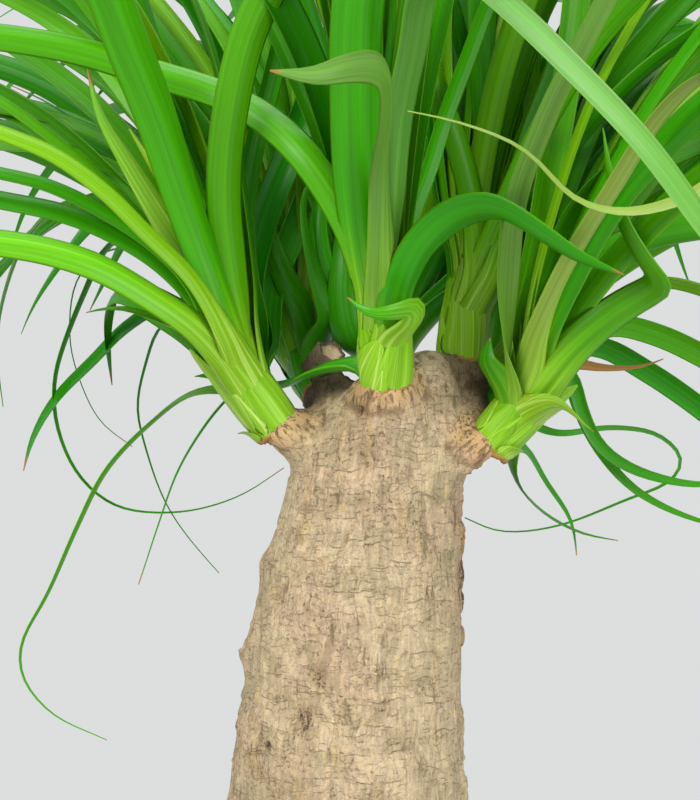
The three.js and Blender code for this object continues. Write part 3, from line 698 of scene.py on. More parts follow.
@dataclass
class Shoot:
    """A head of leaves: its place on the trunk, its leaves and the solid it stands for."""

    name: str
    base: Point
    axis: Point
    collar: Point  # length, foot radius and end radius of the bark collar
    spread: Spread
    extra: Spread  # finer leaves that only the dressed plant has
    seed: int
    straps: Sequence[Strap] = ()
    sheath: Tone = Tone.SHEATH  # tone of the core and of the scales that clasp it
    clasps: tuple[Clasp, ...] = ()

    SEAT = 0.35  # gap between the collar and the shoot
    FOUND = 1.3  # a tip of the solid lies this close to the end of the leaf's rib
    FOOT_REACH = 40.0  # a leaf's heading this far out says how high on the core it leaves
    LOWEST = 600.0  # finer leaves hang no lower than this
    MARGIN = 4.0  # and stay this far inside the solids' sides
    FINER_SEED = 60  # added to the seed for the finer leaves

    def __post_init__(self) -> None:
        """Works out the axis and where the core starts."""
        self.up = unit(self.axis)
        self.start = np.array(self.base) + self.up * self.SEAT
        self.node = f"shoot_{self.name}"
        self.corners = points_of(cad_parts[self.node].data) / MM

    def outward(self, heading: Array) -> Array:
        """The side of the core that a leaf with this heading leaves from."""
        return across_to(heading, self.up)

    def foot(self, heading: Array) -> float:
        """How high on the core a leaf starts, from 0 to 1: higher if it leaves upright."""
        lean = math.acos(np.clip(np.dot(unit(heading), self.up), -1, 1)) / (math.pi / 2)
        return float(np.clip(GROWTH.foot_upright - GROWTH.foot_drop * lean, *GROWTH.foot_range))

    def root(self, heading: Array) -> Array:
        """Where the rib of a leaf starts in the core.

        Args:
            heading: which way the leaf goes.

        Returns:
            The place.
        """
        foot = self.foot(heading)
        reach = GROWTH.root_offset * mix(*GROWTH.core_radii, foot)
        return self.start + self.up * GROWTH.core_length * foot + self.outward(heading) * reach

    def strap_rib(self, strap: Strap, shift: float) -> Array:
        """The rib of a placed leaf.

        Args:
            strap: the leaf.
            shift: how far it is moved in depth, its first point by half as much.

        Returns:
            The rib.
        """
        ease = np.minimum(1, (np.arange(len(strap.via)) + 1) / 2)
        via = np.array(strap.via, float)
        via[:, 1] += shift * ease
        root = self.root(via[0] - self.start)
        rib = curve_through([root, *via], GROWTH.curve_steps)
        return GROWTH.arch(list(rib), strap.length, GROWTH.sag) if strap.length else rib

    def ruled_rib(self, compass: float, rise: float, length: float, sag: float) -> Array:
        """The rib of a leaf that follows the growth rule.

        Args:
            compass: which way it leaves, in degrees from the right.
            rise: how steeply, in degrees.
            length: its length.
            sag: how fast it arches down.

        Returns:
            The rib.
        """
        turn, tilt = math.radians(compass), math.radians(min(GROWTH.steepest_rise, rise))
        level = math.cos(tilt)
        heading = np.array([math.cos(turn) * level, math.sin(turn) * level, math.sin(tilt)])
        root = self.root(heading)
        return GROWTH.arch([root, root + heading * GROWTH.step], length, sag)

    def stands(self, rib: Array) -> bool:
        """True where the solid has a leaf that ends at this rib's end."""
        return bool(np.linalg.norm(self.corners - rib[-1], axis=1).min() < self.FOUND)

    def rise_of(self, rib: Array) -> float:
        """How high on the core the leaf of a rib leaves, judged a little way out."""
        away = rib - self.start
        return self.foot(away[np.argmax(np.linalg.norm(away, axis=1) > self.FOOT_REACH)])

    def placed_leaf(self, strap: Strap) -> Leaf:
        """A listed leaf, where the solid has it, its blade turned from the front.

        Args:
            strap: its row.

        Returns:
            The leaf.
        """
        ribs = [self.strap_rib(strap, shift) for shift in GROWTH.depth_shifts]
        rib = next(filter(self.stands, ribs), ribs[0])
        side = unit(np.cross((0, 1, 0), unit(rib[3] - rib[0])))
        outward = self.outward(rib[GROWTH.curve_steps] - self.start)
        return Leaf(rib, strap.width, strap.turns, side, strap.tone, outward, self.rise_of(rib), strap.taper)

    def ruled_leaf(self, rib: Array, width: float, twist: float, youth: float) -> Leaf:
        """A leaf that follows the growth rule.

        Args:
            rib: the rib.
            width: the blade's width.
            twist: how far its blade turns from root to tip, in degrees.
            youth: 0 for the oldest leaf of the shoot, 1 for the youngest.

        Returns:
            The leaf.
        """
        heading = rib[1] - rib[0]
        side = unit(np.cross(self.up, unit(heading)))
        tone = self.ruled_tone(rib, youth)
        outward, foot = self.outward(heading), self.rise_of(rib)
        return Leaf(rib, width, (0, twist), side, tone, outward, foot, GROWTH.taper)

    def ruled_leaves(self, spread: Spread, seed: int, finer: bool) -> list[Leaf]:
        """Leaves that follow the growth rule.

        Args:
            spread: their range.
            seed: what their draws start from.
            finer: True for leaves that the solid doesn't have.

        Returns:
            Those that the solid has, or all finer ones that stay clear of the trunk.
        """
        draws = Draws(seed)
        leaves = []
        for number in range(spread.count):
            youth = number / max(1, spread.count - 1)
            place = number * GROWTH.golden_turn / 360 + draws.between(0, GROWTH.compass_stray)
            compass = mix(*spread.compass, place % 1)
            back = max(0.0, math.sin(math.radians(compass)))
            lowest = spread.rise[0] + GROWTH.back_rise * back
            stray = draws.between(-GROWTH.rise_stray, GROWTH.rise_stray)
            rise = mix(lowest, spread.rise[1], youth**GROWTH.rise_power) + stray
            length = mix(*spread.length, youth) * (1 - GROWTH.back_shorter * back)
            length *= draws.between(*GROWTH.lengths)
            sag = GROWTH.sag * draws.between(*GROWTH.sags)
            width = draws.between(*GROWTH.widths)
            twist = draws.between(-GROWTH.twist / 2, GROWTH.twist / 2)
            tries = GROWTH.swings
            ribs = (self.ruled_rib(compass + swing, rise + lift, length, sag) for swing, lift in tries)
            rib = next(filter(self.clear if finer else self.stands, ribs), None)
            if rib is not None:
                leaves.append(self.ruled_leaf(rib, width, twist, youth))
        return leaves

    def ruled_tone(self, rib: Array, youth: float) -> Tone:
        """Painted shade: the DARK tone for leaves on the shaded inner side; fresher for the youngest.

        Args:
            rib: the rib.
            youth: from 0 to 1.

        Returns:
            The tone.
        """
        if youth > GROWTH.fresh_from:
            return Tone.LIME
        return Tone.DARK if rib[len(rib) // 4][1] > GROWTH.shaded_from else Tone.GREEN

    def clear(self, rib: Array) -> bool:
        """True for a rib that stays above the open space beside the trunk and inside the sides."""
        left, right = CAD_BOX[0][0] / MM + self.MARGIN, CAD_BOX[1][0] / MM - self.MARGIN
        return bool(rib[:, 2].min() > self.LOWEST and rib[:, 0].min() > left and rib[:, 0].max() < right)

    def all_leaves(self) -> list[Leaf]:
        """Lays out the shoot.

        Returns:
            Every leaf: those listed, those of the growth rule, then the finer ones.
        """
        placed = [self.placed_leaf(strap) for strap in self.straps]
        ruled = self.ruled_leaves(self.spread, self.seed, finer=False)
        return [*placed, *ruled, *self.ruled_leaves(self.extra, self.seed + self.FINER_SEED, finer=True)]


# Leaves listed shoot by shoot: width, turns, length, tone, points, taper.
LEFT_STRAPS = (
    Strap(22, (50, -25), 560, Tone.GREEN, ((-48, -42, 679), (-63, -62, 725), (-78, -90, 772),
        (-90, -120, 808))),
    Strap(17, (10, -5), 600, Tone.GREEN, ((-44, -32, 679), (-51, -52, 722), (-51, -66, 750),
        (-47, -80, 779), (-39, -88, 808), (-27, -95, 834), (-18, -103, 854))),
    Strap(13, (50, 60), 430, Tone.GREEN, ((-48, -10, 685), (-61, -5, 725), (-72, 0, 760), (-82, 0, 800),
        (-93, 0, 840))),
    Strap(16, (15, 15), 0, Tone.YOUNG, ((-50, -26, 679), (-64, -38, 704), (-79, -54, 727), (-96, -64, 755),
        (-110, -68, 778), (-115, -70, 798))),
    Strap(12, (20, 20), 0, Tone.YOUNG, ((-46, -35, 679), (-59, -40, 707), (-72, -45, 733), (-83, -48, 750),
        (-98, -50, 774))),
    Strap(14, (35, 35), 520, Tone.GREEN, ((-50, -5, 677), (-70, 5, 714), (-93, 10, 755), (-119, 15, 788),
        (-144, 20, 810), (-168, 20, 826))),
    Strap(9, (60, 60), 480, Tone.GREEN, ((-50, 15, 675), (-68, 30, 727), (-97, 40, 780), (-121, 45, 805),
        (-147, 45, 823))),
    Strap(6, (55, 55), 0, Tone.DARK, ((-54, 20, 676), (-76, 40, 733), (-103, 50, 768), (-125, 55, 783),
        (-152, 58, 802), (-174, 60, 812))),
    Strap(13, (55, 60), 450, Tone.GREEN, ((-51, 10, 673), (-70, 20, 711), (-95, 25, 755), (-116, 28, 775),
        (-142, 30, 786), (-173, 30, 793))),
    Strap(13, (62, 66), 460, Tone.LIME, ((-49, -50, 674), (-65, -65, 703), (-86, -75, 725),
        (-103, -80, 742), (-126, -85, 758), (-152, -90, 769))),
    Strap(14, (55, 58), 430, Tone.GREEN, ((-52, 0, 670), (-74, 10, 711), (-105, 15, 754), (-125, 15, 764),
        (-150, 15, 771), (-171, 15, 772))),
    Strap(12, (62, 62), 420, Tone.GREEN, ((-51, -30, 669), (-70, -40, 705), (-88, -45, 723),
        (-112, -50, 738), (-136, -50, 749), (-159, -50, 755))),
    Strap(16, (48, 52), 450, Tone.GREEN, ((-50, -25, 667), (-63, -35, 693), (-84, -40, 715),
        (-108, -42, 729), (-132, -42, 738), (-161, -40, 745))),
    Strap(16, (55, 58), 430, Tone.LIME, ((-48, -40, 662), (-64, -60, 680), (-86, -75, 696),
        (-107, -85, 708), (-130, -90, 715), (-151, -95, 718))),
    Strap(23, (30, 20), 0, Tone.DARK, ((-44, -25, 657), (-64, -25, 679), (-87, -15, 693), (-104, 0, 701),
        (-116, 22, 697), (-120, 42, 679), (-118, 52, 653)), 1.3),
    Strap(12, (58, 60), 0, Tone.GREEN, ((-47, -20, 652), (-66, -30, 672), (-90, -35, 685), (-106, -38, 689),
        (-120, -38, 687))),
    Strap(12, (30, 40), 0, Tone.DARK, ((-48, 5, 651), (-59, 12, 657), (-72, 18, 657))),
    Strap(9, (25, 40), 0, Tone.GREEN, ((-52, 20, 649), (-75, 30, 647), (-96, 35, 632), (-118, 38, 609),
        (-133, 40, 580), (-149, 40, 546), (-163, 40, 518), (-162, 38, 500), (-148, 35, 482),
        (-119, 30, 470)), 1.3),
    Strap(7, (50, 50), 0, Tone.DARK, ((-57, 30, 671), (-76, 40, 687), (-91, 45, 684), (-100, 48, 663),
        (-104, 50, 642), (-100, 50, 621), (-89, 50, 590), (-61, 48, 554)), 0.6),
    Strap(3, (50, 50), 0, Tone.DARK, ((-47, 35, 653), (-56, 38, 646), (-68, 40, 632), (-82, 42, 609),
        (-92, 44, 582), (-104, 45, 549)), 0.4),
    Strap(13, (30, 30), 0, Tone.DARK, ((-60, 25, 676), (-86, 35, 692), (-108, 40, 681), (-125, 45, 665),
        (-145, 45, 645), (-157, 45, 624), (-163, 45, 607)), 5.0),
    Strap(14, (45, 60), 0, Tone.DARK, ((-62, 15, 696), (-91, 30, 727), (-115, 40, 726), (-130, 45, 702),
        (-141, 48, 676), (-147, 50, 653), (-146, 50, 629), (-136, 50, 607), (-114, 50, 590), (-82, 50, 586),
        (-53, 50, 594), (-27, 50, 609)), 0.5),
    Strap(5, (50, 50), 0, Tone.DARK, ((-63, 30, 691), (-93, 50, 721), (-123, 60, 724), (-139, 65, 709),
        (-142, 65, 677), (-134, 65, 650), (-125, 65, 633), (-109, 65, 620)), 0.5),
    Strap(10, (40, 45), 400, Tone.DARK, ((-56, 10, 680), (-80, 25, 714), (-107, 35, 746), (-128, 40, 749),
        (-147, 45, 736), (-171, 45, 717))),
    Strap(8, (50, 50), 0, Tone.GREEN, ((-58, 20, 681), (-97, 40, 733), (-140, 50, 747), (-164, 55, 729),
        (-175, 55, 698), (-178, 55, 666), (-176, 55, 642)), 4.0),
    Strap(15, (25, 25), 520, Tone.SHADE, ((-37, 10, 670), (-44, 15, 701), (-38, 20, 734), (-25, 25, 768),
        (-14, 30, 800))),
    Strap(14, (25, 25), 500, Tone.SHADE, ((-34, 20, 670), (-33, 30, 702), (-23, 40, 728), (-13, 50, 755),
        (-6, 55, 787))),
    Strap(12, (50, 50), 480, Tone.SHADE, ((-39, 0, 675), (-46, 5, 710), (-47, 10, 746), (-42, 10, 776),
        (-34, 12, 807))),
)
FRONT_STRAPS = (
    Strap(16, (15, 20), 600, Tone.GREEN, ((17, -60, 692), (6, -72, 728), (-14, -72, 760), (-35, -58, 781),
        (-58, -48, 794), (-82, -48, 802), (-110, -55, 809), (-157, -65, 816))),
    Strap(24, (10, 0), 560, Tone.GREEN, ((19, -62, 692), (14, -75, 724), (11, -90, 759), (11, -110, 796),
        (13, -130, 828))),
    Strap(12, (35, 35), 500, Tone.GREEN, ((23, -55, 692), (20, -60, 730), (20, -60, 767), (21, -60, 805),
        (22, -60, 842))),
    Strap(9, (20, 20), 450, Tone.YOUNG, ((26, -48, 697), (24, -45, 740), (23, -45, 779), (26, -45, 807),
        (31, -45, 841))),
    Strap(10, (25, 25), 500, Tone.LIME, ((27, -45, 698), (26, -40, 741), (29, -38, 780), (36, -38, 813),
        (43, -38, 842))),
    Strap(14, (20, 0), 680, Tone.HAZY, ((28, -52, 697), (28, -65, 738), (31, -85, 773), (36, -120, 799),
        (40, -170, 817), (49, -230, 809), (66, -290, 779), (84, -330, 752), (101, -355, 726),
        (117, -370, 701))),
    Strap(10, (45, 45), 430, Tone.GREEN, ((30, -35, 698), (35, -30, 732), (44, -25, 757), (53, -22, 787),
        (66, -20, 821))),
    Strap(21, (35, 5), 0, Tone.DARK, ((31, -62, 691), (40, -75, 713), (55, -85, 727), (71, -95, 730),
        (90, -105, 719), (109, -110, 707), (129, -112, 700)), 3.0),
    Strap(12, (10, 20), 0, Tone.GREEN, ((35, -66, 673), (38, -74, 686), (28, -86, 685), (16, -88, 684),
        (6, -82, 692))),
    Strap(15, (15, 105), 0, Tone.HAZY, ((23, -70, 701), (23, -100, 744), (25, -150, 768), (21, -190, 779),
        (7, -215, 776), (-8, -225, 771), (-25, -230, 772)), 6.0),
    Strap(10, (45, 45), 0, Tone.SHADE, ((10, -36, 666), (1, -30, 662), (-13, -18, 656), (-26, 0, 652),
        (-38, 15, 653)), 2.5),
)
TOP_STRAPS = (
    Strap(15, (15, 15), 560, Tone.GREEN, ((71, 0, 695), (78, -5, 735), (77, -8, 774), (75, -10, 813),
        (74, -12, 852))),
    Strap(14, (10, 10), 560, Tone.GREEN, ((74, 5, 695), (85, 5, 735), (88, 5, 776), (88, 5, 816),
        (89, 5, 856))),
    Strap(13, (20, 20), 540, Tone.LIME, ((76, 12, 696), (93, 15, 736), (100, 18, 777), (101, 20, 818),
        (104, 22, 860))),
    Strap(12, (10, 10), 500, Tone.GREEN, ((72, -5, 700), (69, -12, 734), (61, -15, 768), (49, -18, 800),
        (39, -20, 831))),
    Strap(10, (30, 30), 460, Tone.SHADE, ((66, 10, 696), (60, 15, 721), (53, 18, 752), (49, 20, 788),
        (47, 20, 829))),
    Strap(12, (20, 20), 520, Tone.GREEN, ((76, -8, 695), (86, -15, 729), (95, -20, 768), (109, -25, 806),
        (123, -30, 844))),
    Strap(9, (20, 20), 480, Tone.YOUNG, ((69, 0, 695), (72, 0, 735), (74, 0, 770), (82, 0, 815))),
    Strap(10, (25, 25), 500, Tone.SHADE, ((71, 20, 701), (76, 25, 748), (72, 28, 794), (63, 30, 830),
        (53, 30, 866))),
)
RIGHT_STRAPS = (
    Strap(19, (10, 10), 0, Tone.GREEN, ((94, -35, 645), (112, -50, 668), (130, -57, 684), (144, -59, 693),
        (150, -67, 697), (143, -76, 706), (133, -81, 723), (126, -84, 744), (122, -84, 770))),
    Strap(16, (15, 20), 520, Tone.GREEN, ((92, -30, 660), (108, -38, 693), (127, -42, 711), (150, -45, 722),
        (178, -50, 727))),
    Strap(17, (15, 15), 0, Tone.DARK, ((70, -32, 640), (69, -34, 650), (71, -32, 662),
        (75, -30, 675)), 2.5),
    Strap(17, (15, 20), 560, Tone.GREEN, ((89, -25, 664), (102, -30, 703), (118, -32, 737), (143, -32, 759),
        (177, -30, 774))),
    Strap(14, (50, 50), 450, Tone.LIME, ((95, -20, 650), (117, -25, 682), (138, -28, 699), (160, -30, 705),
        (186, -32, 698))),
    Strap(13, (40, 40), 430, Tone.GREEN, ((97, 0, 648), (118, 5, 673), (138, 8, 684), (164, 10, 679),
        (194, 12, 664))),
    Strap(12, (40, 40), 430, Tone.DARK, ((98, 20, 648), (115, 30, 671), (136, 35, 674), (163, 38, 660),
        (199, 40, 634))),
    Strap(8, (40, 60), 0, Tone.DEAD, ((95, 10, 646), (114, 16, 664), (134, 20, 662), (155, 22, 662),
        (167, 22, 666))),
    Strap(8, (45, 45), 0, Tone.DARK, ((97, 30, 645), (112, 40, 663), (122, 44, 658), (128, 45, 640),
        (138, 45, 621), (159, 45, 607), (192, 45, 600), (221, 45, 608))),
    Strap(7, (45, 45), 0, Tone.DARK, ((95, 40, 648), (109, 50, 669), (121, 55, 661), (127, 55, 642),
        (138, 55, 619), (157, 55, 598), (192, 55, 581), (218, 55, 576))),
    Strap(13, (30, 30), 0, Tone.LIME, ((91, -35, 633), (105, -48, 643), (118, -55, 633), (122, -56, 630))),
    Strap(4, (50, 50), 0, Tone.DARK, ((97, 55, 634), (120, 80, 627), (150, 92, 630), (176, 97, 626),
        (189, 98, 613), (184, 98, 602), (160, 98, 590), (122, 98, 576), (89, 98, 573), (70, 98, 580)), 0.5),
    Strap(5, (50, 50), 0, Tone.DARK, ((86, 20, 622), (98, 35, 619), (108, 40, 603), (122, 42, 582),
        (125, 42, 564))),
    Strap(5, (50, 50), 0, Tone.DARK, ((88, 25, 618), (92, 34, 604), (105, 36, 588), (126, 38, 576),
        (146, 39, 572))),
    Strap(15, (15, 15), 540, Tone.GREEN, ((85, -20, 670), (95, -25, 713), (103, -28, 757), (109, -30, 795),
        (114, -32, 834))),
    Strap(13, (20, 20), 540, Tone.GREEN, ((88, -12, 670), (101, -10, 714), (114, -10, 754), (131, -10, 794),
        (156, -10, 828))),
    Strap(12, (30, 10), 560, Tone.HAZY, ((81, -50, 669), (80, -80, 709), (81, -110, 738), (90, -150, 768),
        (99, -180, 788), (111, -200, 813))),
    Strap(11, (40, 30), 0, Tone.HAZY, ((96, -60, 678), (121, -120, 733), (146, -180, 772), (157, -230, 768),
        (153, -260, 741), (133, -280, 720), (106, -290, 711), (85, -295, 716), (67, -298, 733),
        (46, -300, 741), (28, -300, 745))),
    Strap(9, (20, 20), 420, Tone.YOUNG, ((90, -20, 660), (104, -20, 694), (114, -22, 713),
        (124, -25, 730))),
)
BACK_STRAPS = (
    Strap(15, (25, 20), 0, Tone.SHADE, ((14, 32, 672), (4, 22, 686), (-3, 16, 700), (-8, 12, 714),
        (-10, 12, 732), (-6, 16, 752), (4, 22, 770)), 2.0),
    Strap(14, (35, 25), 420, Tone.SHADE, ((18, 34, 676), (10, 24, 694), (7, 18, 716), (4, 14, 745))),
    Strap(16, (20, 10), 0, Tone.SHADE, ((15, 26, 667), (7, 12, 675), (3, 8, 691), (3, 8, 713), (7, 12, 742),
        (12, 18, 775)), 2.5),
)
BACK_LEFT_STRAPS = (
    Strap(11, (30, 30), 420, Tone.SHADE, ((-5, 25, 671), (-15, 20, 691), (-25, 18, 705), (-35, 18, 726))),
    Strap(12, (20, 30), 0, Tone.SHADE, ((1, 18, 681), (-7, 10, 703), (-14, 5, 728), (-15, 10, 749),
        (-3, 20, 767))),
    Strap(13, (20, 20), 460, Tone.SHADE, ((8, 30, 686), (1, 30, 717), (-7, 35, 743), (-19, 40, 775))),
)

SHOOTS = [
    Shoot(
        "left", (-31, -14, 635), (-0.58, -0.18, 0.79), (46, 24, 16),
        Spread(8, (100, 235), (52, 82), (520, 420)), Spread(3, (95, 220), (70, 86), (430, 360)), 101,
        LEFT_STRAPS, Tone.SHEATH, (Clasp((-1, -0.25, 0)),),
    ),
    Shoot(
        "front", (24, -38, 657), (-0.05, -0.35, 0.93), (42, 22, 15),
        Spread(10, (185, 355), (76, 87), (600, 520)), Spread(4, (190, 350), (80, 88), (480, 400)), 102,
        FRONT_STRAPS, Tone.SHEATH, (
            Clasp((0.75, -1, 0), 38.0, -0.6, 13.9, 0.35, 18.0),
            Clasp((-1, -0.6, 0), 27.0, -0.4, 13.8, 0.9, 15.0),
        ),
    ),
    Shoot(
        "top", (63, 8, 669), (0.15, 0.05, 0.98), (52, 22, 15),
        Spread(14, (-60, 170), (58, 86), (560, 460)), Spread(6, (-30, 180), (66, 87), (480, 400)), 103,
        TOP_STRAPS,
    ),
    Shoot(
        "right", (78, -15, 626), (0.66, -0.15, 0.73), (48, 24, 16),
        Spread(10, (-70, 80), (52, 82), (540, 430)), Spread(5, (-50, 80), (58, 84), (470, 380)), 104,
        RIGHT_STRAPS, Tone.SHEATH, (Clasp((0.8, -0.6, 0)),),
    ),
    # the back shoots' cores and scales take the SHADE tone: painted shade
    Shoot(
        "back_left", (-8, 32, 652), (-0.45, 0.55, 0.7), (44, 21, 14),
        Spread(26, (60, 205), (40, 84), (520, 400)), Spread(10, (60, 170), (52, 86), (460, 360)), 105,
        BACK_LEFT_STRAPS, Tone.SHADE,
    ),
    Shoot(
        "back", (28, 44, 655), (0, 0.6, 0.8), (44, 21, 14),
        Spread(27, (10, 170), (38, 84), (520, 400)), Spread(16, (10, 170), (50, 86), (460, 360)), 106,
        BACK_STRAPS, Tone.SHADE,
    ),
    Shoot(
        "back_right", (66, 36, 640), (0.55, 0.5, 0.67), (46, 22, 14),
        Spread(26, (-25, 115), (42, 84), (520, 400)), Spread(14, (-25, 115), (54, 86), (460, 360)), 107,
        (), Tone.SHADE,
    ),
]


# ---- Finishes ----


@dataclass(frozen=True)
class LeafFinish:
    """Satin green blade: pale foot, fine lengthwise veins, a paler rib and margin partly of painted light,
    dry tips.
    """

    pale: Colour = (0.210, 0.440, 0.010)
    cream: Colour = (0.500, 0.600, 0.190)
    rust: Colour = (0.340, 0.150, 0.020)
    straw: Colour = (0.440, 0.240, 0.070)
    husk: Colour = (0.190, 0.080, 0.025)
    roughness: float = 0.25
    vein_depth: float = 0.00010

    def material(self) -> Material:
        """Builds the material.

        Returns:
            The material.
        """
        graph = MaterialGraph("leaf_blade", 0.20)
        across, distance, seed = graph.parts(graph.attribute("blade", "Vector"))
        pale, dry, half = graph.parts(graph.attribute("age", "Vector"))
        dye = graph.attribute("dye", "Color")
        streaks = graph.noise(graph.vector(across * 5.0, distance * 7.0, seed), 1.0, 2.0)
        veins = graph.noise(graph.vector(across * half * 1700.0, distance * 2.5, seed + 7.0), 1.0, 1.0, 0.4)
        blotch = graph.noise(graph.vector(across * 1.5, distance * 22.0, seed + 3.0), 1.0, 3.0)
        # the margin: partly a paler edge, partly painted light glowing through the thin edge
        edge = graph.rise(abs(across), 0.90, 0.985)
        # the rib: partly a paler midrib, partly a painted highlight along the fold
        rib = 1.0 - graph.rise(abs(across), 0.0, 0.16)
        foot = graph.rise(pale + (streaks - 0.5) * 0.5, 0.12, 0.95)
        milk = graph.rise(streaks, 0.50, 0.72) * graph.rise(pale, 0.45, 1.0)
        vein = graph.rise(veins, 0.54, 0.74) * graph.rise(pale, 0.35, 0.9)
        colour = graph.layered(dye, (foot, self.pale), (milk * 0.60, self.cream), (vein * 0.5, self.cream))
        # rib lightens the blade along the fold, partly as a painted highlight
        shade = 0.44 + streaks * 0.72 + veins * 0.34 + rib * 0.12
        colour = graph.shaded(colour, shade)
        speck = graph.rise(blotch, 0.66, 0.74) * graph.rise(veins, 0.45, 0.7) * pale
        withered = graph.rise(dry + (blotch - 0.5) * 0.5, 0.35, 0.75)
        husk = graph.mix(streaks, self.husk, self.straw)
        colour = graph.layered(colour, (edge * 0.35, self.pale), (speck * 0.7, self.rust), (withered, husk))
        rough = self.roughness + streaks * 0.14 + withered * 0.35
        return graph.dress(colour, rough, veins + rib * 0.5, self.vein_depth)


@dataclass(frozen=True)
class Section:
    """How a blade's section changes along a leaf, in millimetres."""

    spacing: float = 5.0  # about this far between stations
    fewest: int = 18
    most: int = 120
    crowding: float = 1.2  # stations stand closer at the foot
    clasp: Range = (18.0, 95.0)  # the foot hugs the core up to here
    foot_half_width: float = 14.0
    foot_reach: float = 75.0  # the broad foot narrows to the blade within this length
    foot_radius: float = 12.2  # radius to which a foot is bent
    blade_wrap: float = 0.45
    tip_wrap: float = 0.32
    foot_thickness: float = 1.5
    blade_thickness: float = 0.9
    keel: float = 0.34  # fold along the rib, as a share of the half width
    taper_start: float = 0.3
    wander: float = 1.2  # how far a rib strays from its smooth line
    wander_range: Range = (60.0, 260.0)
    waves: Range = (34.0, 15.0)
    opening: Range = (15.0, 130.0)  # the bent foot opens to the blade between these
    foot_margin: float = 6.5  # a foot is at most this much broader than its blade, on each side
    least_wrap: float = 0.3
    least_half_width: float = 0.35
    lobe_length: float = 7.0  # the foot starts as a round lobe


@dataclass(frozen=True)
class Seat:
    """How leaf feet sit on the core, for the lowest leaf and the highest, in millimetres."""

    heights: Range = (-4.4, 1.5)
    reaches: Range = (12.2, 10.4)
    climbs: Range = (5.0, 17.0)
    stray: float = 0.5
    sunk: float = 1.6  # the very end lies this far under the leaf's own reach
    proud: float = 0.6
    clear: float = 22.0  # the leaf goes its own way from here


SECTION = Section()
SEAT = Seat()


@dataclass
class Stations:
    """Everything the sweep needs at each station of the leaves of one shoot."""

    columns: dict[str, list[Array]] = field(default_factory=dict)
    edges: list[tuple[int, int]] = field(default_factory=list)
    count: int = 0

    def add_strap(self, **columns: Array) -> None:
        """Adds one strap, a row for each station.

        Args:
            columns: the strap's columns by name.
        """
        rows = len(columns["rail"])
        for name, values in columns.items():
            self.columns.setdefault(name, []).append(values)
        self.edges += [(self.count + i, self.count + i + 1) for i in range(rows - 1)]
        self.count += rows

    def column(self, name: str) -> Array:
        """All stations of one column."""
        return np.concatenate(self.columns[name])


